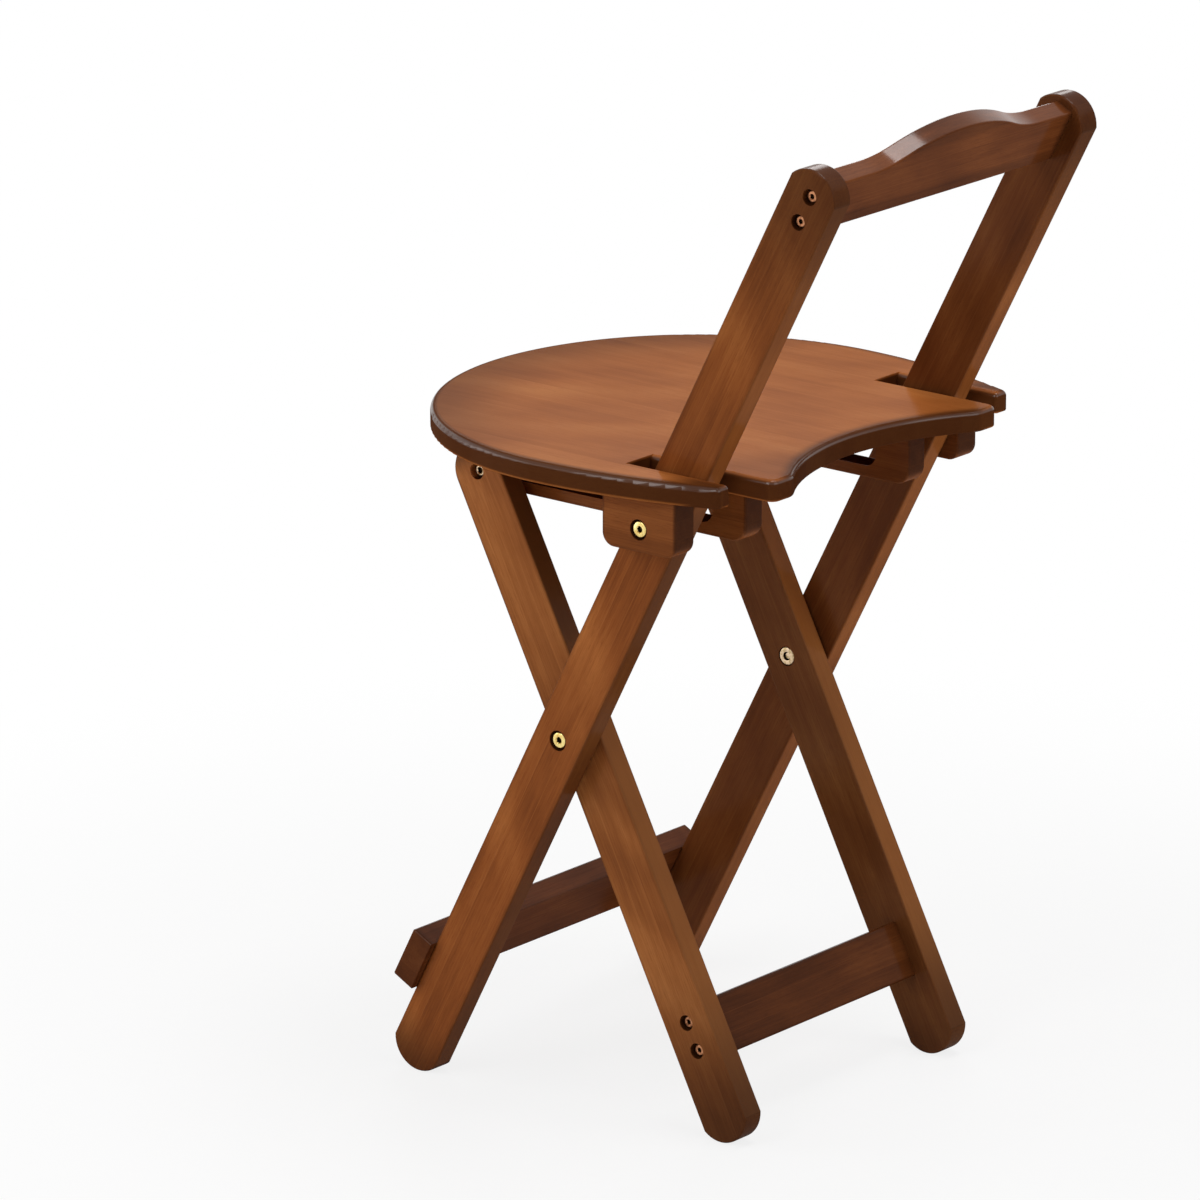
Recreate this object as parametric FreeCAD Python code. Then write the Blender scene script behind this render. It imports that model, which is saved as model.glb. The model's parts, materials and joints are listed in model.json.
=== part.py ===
import FreeCAD, Part
import math
import os

from FreeCAD import Rotation, Vector

os.makedirs("parts", exist_ok=True)

# A folding wooden stool with a low back, in millimetres and degrees. It faces -Y, its
# back leans to +Y, and its left side mirrors its right side across X = 0. Two frames
# of boards cross like an X. The long frame carries the back and turns on the seat at
# its rear pivots. The short frame slides along slots under the seat.

# The linkage, seen from the side
seat_height = 475.0
seat_thickness = 15.0
fold_clearance = 3.5
pivot_span = 175.0
crossing_drop = 170.0
back_length = 291.8

# Leg boards and the rounding of every board's long edges
leg_width = 40.0
leg_thickness = 18.0
end_ease = 2.0
board_edge = 1.5

# Planes across the stool, from the long legs inwards and outwards
frame_width = 290.0
leg_gap = 2.0
rail_gap = 8.0
block_gap = 1.0
face_play = 0.2

# Seat panel, with reaches counted from the pivots
seat_overhang = 41.0
seat_side_radius = 387.0
seat_front_reach = 89.5
outer_horn_reach = 62.5
inner_horn_reach = 81.0
inner_horn_flat = 9.7
hollow_depth = 32.0
hollow_blend = 16.0
notch_clearance = 2.4
horn_corner = 7.0
horn_tip_corner = 2.5
rim_radius = 4.0
under_rim_radius = 1.5

# Slotted rails under the seat
rail_thickness = 18.0
rail_rear_wood = 28.5
rail_front_wood = 20.5
rail_corner = 12.0
slot_height = 19.0
slot_floor = 8.5
slot_play = 0.3

# Blocks outside the long legs
block_thickness = 20.5
block_length = 62.7
block_floor = 15.8
block_corner = 9.5

# Top rail between the back posts, counted along the posts
top_rail_thickness = 15.0
top_rail_depth = 39.5
top_rail_drop = 5.5
crown_rise = 17.5
shoulder_length = 35.0
crown_share = 0.65
top_screw_offset = 3.5

# Stretchers, their middle counted up along the legs from the feet
stretcher_rise = 76.5
rear_stretcher_depth = 40.0
rear_stretcher_thickness = 15.0
front_stretcher_depth = 41.0
front_stretcher_thickness = 18.0
front_stretcher_overhang = 5.5

# Bolts, their sleeve nuts and washers
bolt_head = 11.6
bolt_head_height = 3.0
bolt_shank = 6.0
bolt_socket = 4.0
bolt_recess = 1.0
bolt_head_gap = 1.45
slide_head = 8.6
slide_recess = 3.2
flush_recess = 0.4
bore_play = 0.08
sleeve_wall = 1.5
sleeve_flange_rim = 2.0
sleeve_flange_height = 2.0
sleeve_gap = 0.5
washer_rim = 5.0
crossing_play = 0.35
head_round = 1.1
socket_depth_share = 0.7

# Rollers that carry the short frame in the slots
collar_lip = 3.5
roller_washer_height = 1.6
nut_width = 10.0
nut_height = 5.0
nut_grip = 3.8

# Wood screws and dowels
screw_head = 8.4
screw_head_height = 2.6
screw_shank = 4.5
screw_socket = 3.0
screw_recess = 2.8
screw_head_gap = 1.4
screw_spacing = 20.4
screw_grip = 30.0
screw_point = 6.0
screw_tip = 1.0
hole_play = 0.05
small_head = 8.0
small_head_gap = 0.3
small_screw_sink = 15.0
block_screw_inset = 11.5
seat_cover = 5.0
slot_cover = 4.0
dowel_diameter = 8.0
dowel_spacing = 50.0
dowel_count = 3

# Sizes worked out from the ones above
sleeve_diameter = bolt_shank + 2 * sleeve_wall
sleeve_flange = sleeve_diameter + 2 * sleeve_flange_rim
bolt_head_bore = bolt_head + 2 * bolt_head_gap
slide_head_bore = slide_head + 2 * bolt_head_gap
screw_head_bore = screw_head + 2 * screw_head_gap
small_head_bore = small_head + 2 * small_head_gap
washer_diameter = bolt_shank + 2 * washer_rim
collar_diameter = slot_height + 2 * collar_lip
roller_diameter = slot_height - 2 * slot_play
seat_radius = frame_width / 2 + seat_overhang
seat_bite = seat_thickness - seat_cover

# How near two coordinates are to count as one place
match = 0.001

# Heights and places
seat_underside = seat_height - seat_thickness
pivot_below_seat = leg_width / 2 + fold_clearance
pivot_height = seat_underside - pivot_below_seat
crossing_height = pivot_height - crossing_drop
rear_pivot = pivot_span / 2
front_pivot = -pivot_span / 2
arm = math.hypot(pivot_span / 2, crossing_drop)
tilt = math.degrees(math.atan2(pivot_span / 2, crossing_drop))
end_radius = leg_width / 2 + end_ease
foot_reach = (crossing_height - end_radius) / math.cos(math.radians(tilt)) + end_radius
stretcher_drop = foot_reach - stretcher_rise
back_reach = arm + back_length

long_leg_outer = frame_width / 2
long_leg_inner = long_leg_outer - leg_thickness
short_leg_outer = long_leg_inner - leg_gap
short_leg_inner = short_leg_outer - leg_thickness
rail_outer = short_leg_inner - rail_gap
rail_inner = rail_outer - rail_thickness
block_inner = long_leg_outer + block_gap
block_outer = block_inner + block_thickness

seat_front = front_pivot - seat_front_reach
rear_reach = (back_reach - end_radius) * math.sin(math.radians(tilt)) + end_radius
middle_y = (rear_reach + seat_front) / 2

roller_end = rail_inner - face_play
washer_end = roller_end - roller_washer_height
INWARDS = Vector(-1, 0, 0)
UPWARDS = Vector(0, 0, 1)
REARWARDS = Vector(0, 1, 0)


# General shapes

def box(x, y, z):
    """Box between the low and high values of each axis."""
    return Part.makeBox(x[1] - x[0], y[1] - y[0], z[1] - z[0], Vector(x[0], y[0], z[0]))


def rod(diameter, start, direction, length):
    """Cylinder from a start point along a direction."""
    return Part.makeCylinder(diameter / 2, length, start, direction)


def line(start, end):
    return Part.makeLine(start, end)


def arc(start, middle, end):
    return Part.Arc(start, middle, end).toShape()


def extruded(edges, travel):
    """Solid from a closed row of edges, pushed along a travel vector."""
    return Part.Face(Part.Wire(edges)).extrude(travel)


def lies_on(edge, axis, value):
    """True if a whole edge lies in the plane where one coordinate has a value."""
    limits = edge.BoundBox
    low, high = {
        "x": (limits.XMin, limits.XMax),
        "y": (limits.YMin, limits.YMax),
        "z": (limits.ZMin, limits.ZMax),
    }[axis]
    return abs(low - value) < match and abs(high - value) < match


def rounded(solid, radius, chosen):
    """Round the edges of a solid that a test function chooses."""
    return solid.makeFillet(radius, [edge for edge in solid.Edges if chosen(edge)])


def on_side_faces(thickness):
    """Test that chooses the edges of both side faces of a board drawn on X = 0."""
    return lambda edge: lies_on(edge, "x", 0) or lies_on(edge, "x", thickness)


def mirrored(shape):
    """The left-hand twin of a right-hand shape."""
    return shape.mirror(Vector(0, 0, 0), Vector(1, 0, 0))


def both_sides(solids):
    return solids + [mirrored(solid) for solid in solids]


def leaned(shape, angle):
    """Tilt a shape drawn upright about the crossing, and lift it to its height."""
    placed = shape.copy()
    placed.rotate(Vector(0, 0, 0), Vector(1, 0, 0), angle)
    placed.translate(Vector(0, 0, crossing_height))
    return placed


def in_long_frame(shape):
    """Upright drawing to the long frame, whose top leans to the rear."""
    return leaned(shape, -tilt)


def in_short_frame(shape):
    """Upright drawing to the short frame, whose top leans to the front."""
    return leaned(shape, tilt)


def save(name, solids):
    """Write one piece, or a group of like pieces, with the footprint centred on the origin."""
    shape = solids[0] if len(solids) == 1 else Part.makeCompound(solids)
    placed = shape.copy()
    placed.translate(Vector(0, -middle_y, 0))
    placed.exportStep("parts/" + name + ".step")


# Fasteners, drawn from the outer face of the head along the way they go in

def aimed(shape, start, direction):
    """Turn a shape drawn along -Z to a direction, and move it to its start."""
    placed = shape.copy()
    turn = Rotation(Vector(0, 0, -1), direction)
    placed.Placement = FreeCAD.Placement(start, turn).multiply(placed.Placement)
    return placed


def hexagon(width, height, top):
    """Six-sided prism, as wide across its flats as stated, below a top height."""
    corner = width / math.sqrt(3)
    angles = [math.radians(60 * k) for k in range(7)]
    points = [Vector(corner * math.cos(angle), corner * math.sin(angle), top) for angle in angles]
    return extruded([line(a, b) for a, b in zip(points, points[1:])], Vector(0, 0, -height))


def headed(head, head_height, shank, length, socket, point=0.0):
    """Socket-head fastener: a rounded head, a shank and, on a wood screw, a point."""
    top = Part.makeCylinder(head / 2, head_height, Vector(0, 0, -head_height))
    top = rounded(top, min(head_round, head_height / 2), lambda edge: lies_on(edge, "z", 0))
    top = top.cut(hexagon(socket, head_height * socket_depth_share, 0))
    body = rod(shank, Vector(0, 0, -head_height), Vector(0, 0, -1), length - head_height - point)
    if point:
        tip = Part.makeCone(shank / 2, screw_tip / 2, point, Vector(0, 0, -length + point), Vector(0, 0, -1))
        body = body.fuse(tip)
    return top.fuse(body).removeSplitter()


def head_hole(surface, direction, head_bore, head_depth, bore, length):
    """Counterbore and bore for a fastener that goes in at a surface."""
    outside = surface - direction * head_depth
    return rod(head_bore, outside, direction, 2 * head_depth).fuse(rod(bore, surface, direction, length))


def wood_screw(surface, direction, length):
    """Main wood screw, its head just below the surface, and its hole."""
    face = surface + direction * screw_recess
    screw = headed(screw_head, screw_head_height, screw_shank, length, screw_socket, screw_point)
    hole = head_hole(surface, direction, screw_head_bore, screw_recess + screw_head_height,
                     screw_shank + 2 * hole_play, screw_recess + length + hole_play)
    return aimed(screw, face, direction), hole


def under_screw(x, y, underside):
    """Slim screw, sunk deep into a rail or block from below, that bites into the seat."""
    surface = Vector(x, y, underside)
    face = surface + UPWARDS * (small_screw_sink - screw_head_height)
    length = seat_underside + seat_bite - face.z
    screw = headed(small_head, screw_head_height, screw_shank, length, screw_socket, screw_point)
    hole = head_hole(surface, UPWARDS, small_head_bore, small_screw_sink,
                     screw_shank + 2 * hole_play, seat_underside + seat_bite - underside + hole_play)
    return aimed(screw, face, UPWARDS), hole


def sleeve_nut(surface, direction, length):
    """Flanged sleeve nut, its flange just below a surface, and its hole right through the leg."""
    face = surface + direction * flush_recess
    nut = rod(sleeve_flange, face, direction, sleeve_flange_height)
    nut = nut.fuse(rod(sleeve_diameter, face, direction, length - flush_recess))
    nut = nut.cut(rod(bolt_shank + 2 * hole_play, face, direction, length))
    hole = head_hole(surface, direction, sleeve_flange + 2 * sleeve_gap, flush_recess + sleeve_flange_height,
                     sleeve_diameter + 2 * hole_play, length + 2 * face_play)
    return nut, hole


def washer(start, direction, diameter, bore, height):
    return rod(diameter, start, direction, height).cut(rod(bore, start, direction, height))


# Leg boards

def board_end(height, radius, upwards):
    """Arc across a leg board's end, and the height at which its sides begin."""
    sag = radius - math.sqrt(radius ** 2 - (leg_width / 2) ** 2)
    side = height - sag if upwards else height + sag
    left = Vector(0, -leg_width / 2, side)
    right = Vector(0, leg_width / 2, side)
    return left, Vector(0, 0, height), right


def leg_board(inner_x, top, top_radius):
    """Upright leg board with the crossing at its origin and both ends rounded."""
    low_left, foot, low_right = board_end(-foot_reach, end_radius, False)
    high_left, crest, high_right = board_end(top, top_radius, True)
    edges = [arc(low_left, foot, low_right), line(low_right, high_right),
             arc(high_right, crest, high_left), line(high_left, low_left)]
    board = extruded(edges, Vector(leg_thickness, 0, 0))
    board = rounded(board, board_edge, on_side_faces(leg_thickness))
    board.translate(Vector(inner_x, 0, 0))
    return board


def cross_screws(surface_x, height):
    """A pair of screws through a board's outer face, below and above a height."""
    return [wood_screw(Vector(surface_x, 0, height + offset), INWARDS, leg_thickness + screw_grip)
            for offset in (-screw_spacing / 2, screw_spacing / 2)]


# Long frame: back posts that run down to the front feet

top_rail_bottom = back_reach - top_rail_drop - top_rail_depth
top_rail_shoulder = back_reach - top_rail_drop
top_screw_height = (top_rail_bottom + top_rail_shoulder) / 2 - top_screw_offset
stretcher_front = -leg_width / 2 - front_stretcher_thickness
leg_middle = (long_leg_outer + long_leg_inner) / 2
crown_half_width = long_leg_inner - shoulder_length


def pivot_bolt():
    """Bolt of the rear seat pivot, with its head in the outer block."""
    start = Vector(block_outer - bolt_recess, 0, arm)
    length = start.x - long_leg_inner - sleeve_flange_height
    return aimed(headed(bolt_head, bolt_head_height, bolt_shank, length, bolt_socket), start, INWARDS)


def pivot_sleeve():
    """Sleeve nut of the rear pivot, pressed into the long leg from inside."""
    return sleeve_nut(Vector(long_leg_inner, 0, arm), -INWARDS, leg_thickness - face_play)


def crossing_bolt():
    """Outer half of the crossing bolt, which ends in the gap between the legs."""
    start = Vector(long_leg_outer - bolt_recess, 0, 0)
    end = short_leg_outer + crossing_play
    bolt = headed(bolt_head, bolt_head_height, bolt_shank, start.x - end, bolt_socket)
    hole = head_hole(Vector(long_leg_outer, 0, 0), INWARDS, bolt_head_bore, bolt_recess + bolt_head_height,
                     bolt_shank + 2 * hole_play, leg_thickness + leg_gap)
    return aimed(bolt, start, INWARDS), hole


def front_screws():
    """Screws through the front stretcher into one long leg."""
    surface = [Vector(leg_middle, stretcher_front, -stretcher_drop + offset)
               for offset in (-screw_spacing / 2, screw_spacing / 2)]
    return [wood_screw(point, REARWARDS, front_stretcher_thickness + screw_grip) for point in surface]


def long_leg():
    board = leg_board(long_leg_inner, back_reach, end_radius)
    holes = [pivot_sleeve()[1], crossing_bolt()[1]]
    holes += [hole for _, hole in cross_screws(long_leg_outer, top_screw_height)]
    holes += [hole for _, hole in front_screws()]
    return board.cut(holes)


def crown_points():
    """End of the crown's arc and middle of the shoulder's arc, on the right."""
    total = (crown_half_width ** 2 + crown_rise ** 2) / (2 * crown_rise)
    crown_radius = crown_share * total
    shoulder_radius = total - crown_radius
    crown_top = top_rail_shoulder + crown_rise
    crown_centre = Vector(0, 0, crown_top - crown_radius)
    shoulder_centre = Vector(crown_half_width, 0, top_rail_shoulder + shoulder_radius)
    towards = (shoulder_centre - crown_centre).normalize()
    turn = crown_centre + towards * crown_radius
    halfway = (Vector(0, 0, -1) - towards).normalize()
    return turn, shoulder_centre + halfway * shoulder_radius, Vector(0, 0, crown_top)


def flipped(point):
    return Vector(-point.x, point.y, point.z)


def top_rail():
    """Camel-backed rail: level shoulders, and an S-curve up to a crown."""
    turn, middle, crown = crown_points()
    shoulder = Vector(crown_half_width, 0, top_rail_shoulder)
    corner = Vector(long_leg_inner, 0, top_rail_shoulder)
    foot = Vector(long_leg_inner, 0, top_rail_bottom)
    right = [line(foot, corner), line(corner, shoulder), arc(shoulder, middle, turn)]
    left = [mirrored(edge) for edge in reversed(right)]
    edges = [line(flipped(foot), foot)] + right + [arc(turn, crown, flipped(turn))] + left
    rail = extruded(edges, Vector(0, top_rail_thickness, 0))
    rail.translate(Vector(0, -top_rail_thickness / 2, 0))
    faces = (-top_rail_thickness / 2, top_rail_thickness / 2)
    rail = rounded(rail, board_edge, lambda edge: any(lies_on(edge, "y", face) for face in faces)
                   and not at_ends(edge, long_leg_inner))
    return rail.cut(both_sides([hole for _, hole in cross_screws(long_leg_outer, top_screw_height)]))


def at_ends(edge, half_length):
    """True for an edge of a rail's end face."""
    return lies_on(edge, "x", half_length) or lies_on(edge, "x", -half_length)


def stretcher(half_length, depth, thickness, y):
    """Plain board between the sides, centred on the stretchers' height."""
    low = -stretcher_drop - depth / 2
    return box((-half_length, half_length), (y, y + thickness), (low, low + depth))


def front_stretcher():
    half = long_leg_outer + front_stretcher_overhang
    board = stretcher(half, front_stretcher_depth, front_stretcher_thickness, stretcher_front)
    board = rounded(board, board_edge, lambda edge: not lies_on(edge, "y", -leg_width / 2))
    return board.cut(both_sides([hole for _, hole in front_screws()]))


def save_long_frame():
    leg = in_long_frame(long_leg())
    save("long_leg_right", [leg])
    save("long_leg_left", [mirrored(leg)])
    save("top_rail", [in_long_frame(top_rail())])
    save("front_stretcher", [in_long_frame(front_stretcher())])
    top_screws = [screw for screw, _ in cross_screws(long_leg_outer, top_screw_height)]
    fasteners = {
        "top_rail_screws": top_screws,
        "front_stretcher_screws": [screw for screw, _ in front_screws()],
        "pivot_bolts": [pivot_bolt()],
        "pivot_sleeves": [pivot_sleeve()[0]],
        "pivot_washers": [washer(Vector(long_leg_outer, 0, arm), -INWARDS, washer_diameter,
                                 bolt_shank + 2 * bore_play, block_gap - face_play)],
        "crossing_bolts": [crossing_bolt()[0]],
        "crossing_washers": [washer(Vector(long_leg_inner, 0, 0), INWARDS, washer_diameter,
                                    bolt_shank + 2 * bore_play, leg_gap - crossing_play)],
    }
    for name, solids in fasteners.items():
        save(name, both_sides([in_long_frame(solid) for solid in solids]))


# Short frame: front pivots that run down to the rear feet

def crossing_sleeve():
    """Inner half of the crossing bolt: a sleeve nut through the short leg, with the bolt's end in it."""
    nut, hole = sleeve_nut(Vector(short_leg_inner, 0, 0), -INWARDS, leg_thickness - face_play)
    bolt_end = rod(bolt_shank + 2 * hole_play, Vector(short_leg_inner + sleeve_flange_height, 0, 0), -INWARDS,
                   leg_thickness - face_play - sleeve_flange_height)
    return nut.fuse(bolt_end).removeSplitter(), hole


def slide_bolt():
    """Bolt of the sliding pivot: through the short leg and the roller to its nut."""
    start = Vector(short_leg_outer - slide_recess, 0, arm)
    length = start.x - washer_end + nut_grip
    bolt = headed(slide_head, bolt_head_height, bolt_shank, length, bolt_socket)
    hole = head_hole(Vector(short_leg_outer, 0, arm), INWARDS, slide_head_bore,
                     slide_recess + bolt_head_height + face_play, bolt_shank + 2 * bore_play, leg_thickness)
    return aimed(bolt, start, INWARDS), hole


def short_leg():
    board = leg_board(short_leg_inner, arm + leg_width / 2, leg_width / 2)
    holes = [crossing_sleeve()[1], slide_bolt()[1]]
    holes += [hole for _, hole in cross_screws(short_leg_outer, -stretcher_drop)]
    return board.cut(holes)


def rear_stretcher():
    back = -rear_stretcher_thickness / 2
    board = stretcher(short_leg_inner, rear_stretcher_depth, rear_stretcher_thickness, back)
    board = rounded(board, board_edge, lambda edge: not at_ends(edge, short_leg_inner))
    return board.cut(both_sides([hole for _, hole in cross_screws(short_leg_outer, -stretcher_drop)]))


def save_short_frame():
    leg = in_short_frame(short_leg())
    save("short_leg_right", [leg])
    save("short_leg_left", [mirrored(leg)])
    save("rear_stretcher", [in_short_frame(rear_stretcher())])
    screws = [in_short_frame(screw) for screw, _ in cross_screws(short_leg_outer, -stretcher_drop)]
    save("rear_stretcher_screws", both_sides(screws))
    save("crossing_sleeves", both_sides([in_short_frame(crossing_sleeve()[0])]))


# Sliding pivots: a bolt, a collared roller, a washer and a nut on each side

def slide_roller():
    """Roller in the slot, with a collar that fills the gap to the short leg."""
    start = Vector(rail_outer + face_play, 0, arm)
    roller = rod(roller_diameter, start, INWARDS, start.x - roller_end)
    roller = roller.fuse(rod(collar_diameter, start, -INWARDS, rail_gap - 2 * face_play))
    length = short_leg_inner - roller_end
    return roller.cut(rod(bolt_shank + 2 * hole_play, Vector(short_leg_inner, 0, arm), INWARDS, length))


def slide_nut():
    nut = aimed(hexagon(nut_width, nut_height, 0), Vector(washer_end, 0, arm), INWARDS)
    return nut.cut(rod(bolt_shank + 2 * hole_play, Vector(washer_end, 0, arm), INWARDS, nut_height))


def save_sliding_pivots():
    roller_washer = washer(Vector(roller_end, 0, arm), INWARDS, collar_diameter,
                           bolt_shank + 2 * hole_play, roller_washer_height)
    pieces = {
        "slide_bolts": slide_bolt()[0],
        "slide_rollers": slide_roller(),
        "slide_washers": roller_washer,
        "slide_nuts": slide_nut(),
    }
    for name, solid in pieces.items():
        save(name, both_sides([in_short_frame(solid)]))


# Seat panel with a round front, a hollow back and a notch for each back post

def seat_outline():
    """Edges of the seat's outline: the front, the right side, the hollow, the left side."""
    centre_y = seat_front + seat_radius
    horn_y = rear_pivot + outer_horn_reach
    tip_y = rear_pivot + inner_horn_reach
    notch_y = rear_pivot - pivot_below_seat
    notch_outer = long_leg_outer + notch_clearance
    notch_inner = long_leg_inner - notch_clearance
    side_centre = seat_radius - seat_side_radius
    blend_x = notch_inner - horn_corner - inner_horn_flat
    blend_y = tip_y - hollow_blend
    from_middle = blend_x ** 2 + (hollow_blend - hollow_depth) ** 2
    hollow_radius = (from_middle - hollow_blend ** 2) / (2 * hollow_depth)

    def side(y):
        return Vector(side_centre + math.sqrt(seat_side_radius ** 2 - (y - centre_y) ** 2), y, 0)

    hollow_middle = Vector(0, tip_y - hollow_depth, 0)
    hollow_centre = hollow_middle + Vector(0, hollow_radius, 0)
    blend_centre = Vector(blend_x, blend_y, 0)
    to_hollow = (hollow_centre - blend_centre).normalize()
    blend_middle = blend_centre + (to_hollow + Vector(0, 1, 0)).normalize() * hollow_blend
    hollow_end = blend_centre + to_hollow * hollow_blend
    corner_centre = Vector(notch_inner - horn_corner, tip_y - horn_corner, 0)
    corner_start = corner_centre + Vector(horn_corner, 0, 0)
    corner_middle = corner_centre + Vector(1, 1, 0).normalize() * horn_corner
    corner_end = corner_centre + Vector(0, horn_corner, 0)

    half = [
        arc(Vector(seat_radius, centre_y, 0), side((centre_y + horn_y) / 2), side(horn_y)),
        line(side(horn_y), Vector(notch_outer, horn_y, 0)),
        line(Vector(notch_outer, horn_y, 0), Vector(notch_outer, notch_y, 0)),
        line(Vector(notch_outer, notch_y, 0), Vector(notch_inner, notch_y, 0)),
        line(Vector(notch_inner, notch_y, 0), corner_start),
        arc(corner_start, corner_middle, corner_end),
        line(corner_end, Vector(blend_x, tip_y, 0)),
        arc(Vector(blend_x, tip_y, 0), blend_middle, hollow_end),
    ]
    front = arc(Vector(-seat_radius, centre_y, 0), Vector(0, seat_front, 0), Vector(seat_radius, centre_y, 0))
    hollow = arc(hollow_end, hollow_middle, flipped(hollow_end))
    return [front] + half + [hollow] + [mirrored(edge) for edge in reversed(half)]


def in_notch(edge):
    """True for an edge along a notch, which stays nearly sharp."""
    middle = edge.CenterOfMass
    slack = notch_clearance + match
    across = long_leg_inner - slack < abs(middle.x) < long_leg_outer + slack
    ahead = middle.y < rear_pivot + inner_horn_reach - horn_corner
    return across and ahead and edge.Curve.TypeId == "Part::GeomLine"


def seat_panel():
    panel = extruded(Part.__sortEdges__(seat_outline()), Vector(0, 0, seat_thickness))
    horn_y = rear_pivot + outer_horn_reach
    tips = [edge for edge in panel.Edges if edge.BoundBox.ZLength > seat_thickness / 2
            and abs(edge.CenterOfMass.y - horn_y) < match and abs(edge.CenterOfMass.x) > block_inner]
    panel = panel.makeFillet(horn_tip_corner, tips)
    panel = rounded(panel, rim_radius, lambda edge: lies_on(edge, "z", seat_thickness) and not in_notch(edge))
    panel = rounded(panel, under_rim_radius, lambda edge: lies_on(edge, "z", 0) and not in_notch(edge))
    panel.translate(Vector(0, 0, seat_underside))
    return panel


# Rails and blocks under the seat

def hung_board(front, rear, depth, corner, inner_x, thickness):
    """Upright board against the seat's underside, with its lower corners rounded."""
    low = seat_underside - depth
    turn = corner * (1 - math.sqrt(0.5))
    top_front = Vector(0, front, seat_underside)
    top_rear = Vector(0, rear, seat_underside)
    front_turn = Vector(0, front, low + corner)
    rear_turn = Vector(0, rear, low + corner)
    low_front = Vector(0, front + corner, low)
    low_rear = Vector(0, rear - corner, low)
    edges = [
        line(top_rear, top_front),
        line(top_front, front_turn),
        arc(front_turn, Vector(0, front + turn, low + turn), low_front),
        line(low_front, low_rear),
        arc(low_rear, Vector(0, rear - turn, low + turn), rear_turn),
        line(rear_turn, top_rear),
    ]
    board = extruded(edges, Vector(thickness, 0, 0))
    sides = on_side_faces(thickness)
    board = rounded(board, board_edge, lambda edge: sides(edge) and not lies_on(edge, "z", seat_underside))
    board.translate(Vector(inner_x, 0, 0))
    return board


rail_middle = (rail_inner + rail_outer) / 2
slot_end = slot_height / 2
rail_front = front_pivot - slot_end - rail_front_wood
rail_rear = rear_pivot + slot_end + rail_rear_wood
rail_depth = pivot_below_seat + slot_end + slot_floor
block_depth = pivot_below_seat + block_floor
dowel_depth = pivot_below_seat - slot_end - slot_cover
block_middle = (block_inner + block_outer) / 2


def rail_slot():
    """Slot in which the roller travels from the front pivot to the rear pivot."""
    span = (rail_inner, rail_outer)
    slot = box(span, (front_pivot, rear_pivot), (pivot_height - slot_end, pivot_height + slot_end))
    for y in (front_pivot, rear_pivot):
        slot = slot.fuse(rod(slot_height, Vector(rail_inner, y, pivot_height), -INWARDS, rail_thickness))
    return slot


def rail_screws():
    """Screws in the solid wood ahead of the slot and behind it."""
    ahead = (rail_front + front_pivot - slot_end) / 2
    behind = (rail_rear + rear_pivot + slot_end) / 2
    return [under_screw(rail_middle, y, seat_underside - rail_depth) for y in (ahead, behind)]


def rail_dowels():
    """Glued dowels between the wood above the slot and the seat."""
    first = -dowel_spacing * (dowel_count - 1) / 2
    base = seat_underside - dowel_depth
    feet = [Vector(rail_middle, first + dowel_spacing * k, base) for k in range(dowel_count)]
    return [rod(dowel_diameter, foot, UPWARDS, dowel_depth + seat_bite) for foot in feet]


def dowel_holes():
    """Holes a little wider and deeper than the dowels."""
    length = dowel_depth + seat_bite + 2 * hole_play
    holes = []
    for dowel in rail_dowels():
        middle = dowel.CenterOfMass
        foot = Vector(middle.x, middle.y, seat_underside - dowel_depth - hole_play)
        holes.append(rod(dowel_diameter + 2 * hole_play, foot, UPWARDS, length))
    return holes


def inner_rail():
    rail = hung_board(rail_front, rail_rear, rail_depth, rail_corner, rail_inner, rail_thickness)
    return rail.cut([rail_slot()] + [hole for _, hole in rail_screws()] + dowel_holes())


def block_screws():
    """Screws up through the outer block, ahead of its pivot and behind it."""
    offset = block_length / 2 - block_screw_inset
    return [under_screw(block_middle, y, seat_underside - block_depth)
            for y in (rear_pivot - offset, rear_pivot + offset)]


def outer_block():
    front = rear_pivot - block_length / 2
    block = hung_board(front, front + block_length, block_depth, block_corner, block_inner, block_thickness)
    pivot = head_hole(Vector(block_outer, rear_pivot, pivot_height), INWARDS, bolt_head_bore,
                      bolt_recess + bolt_head_height + face_play, bolt_shank + 2 * bore_play, block_thickness)
    return block.cut([pivot] + [hole for _, hole in block_screws()])


def save_seat():
    holes = [hole for _, hole in rail_screws() + block_screws()] + dowel_holes()
    save("seat_panel", [seat_panel().cut(both_sides(holes))])
    for name, piece in (("inner_rail", inner_rail()), ("outer_block", outer_block())):
        save(name + "_right", [piece])
        save(name + "_left", [mirrored(piece)])
    save("rail_screws", both_sides([screw for screw, _ in rail_screws()]))
    save("block_screws", both_sides([screw for screw, _ in block_screws()]))
    save("rail_dowels", both_sides(rail_dowels()))


save_long_frame()
save_short_frame()
save_sliding_pivots()
save_seat()

print("tilt", round(tilt, 4), "arm", round(arm, 3), "foot reach", round(foot_reach, 3))
print("pivots y", round(front_pivot - middle_y, 3), round(rear_pivot - middle_y, 3), "z", pivot_height)
print("crossing y", round(-middle_y, 3), "z", round(crossing_height, 3))
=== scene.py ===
"""Folding stool with a low back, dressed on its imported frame.

The boards keep the solids of the frame and get a stained wood that follows each board's own
length. Bolts, screws, sleeves, washers and nuts are turned afresh, with rounded rims, sockets
and chamfers, and stand where the frame has theirs. Lengths are metres, angles are degrees.
"""

from __future__ import annotations

import json
import logging
import math
from abc import ABC, abstractmethod
from dataclasses import dataclass, fields, replace
from enum import Enum
from functools import partial, reduce
from typing import Any, Sequence

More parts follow.
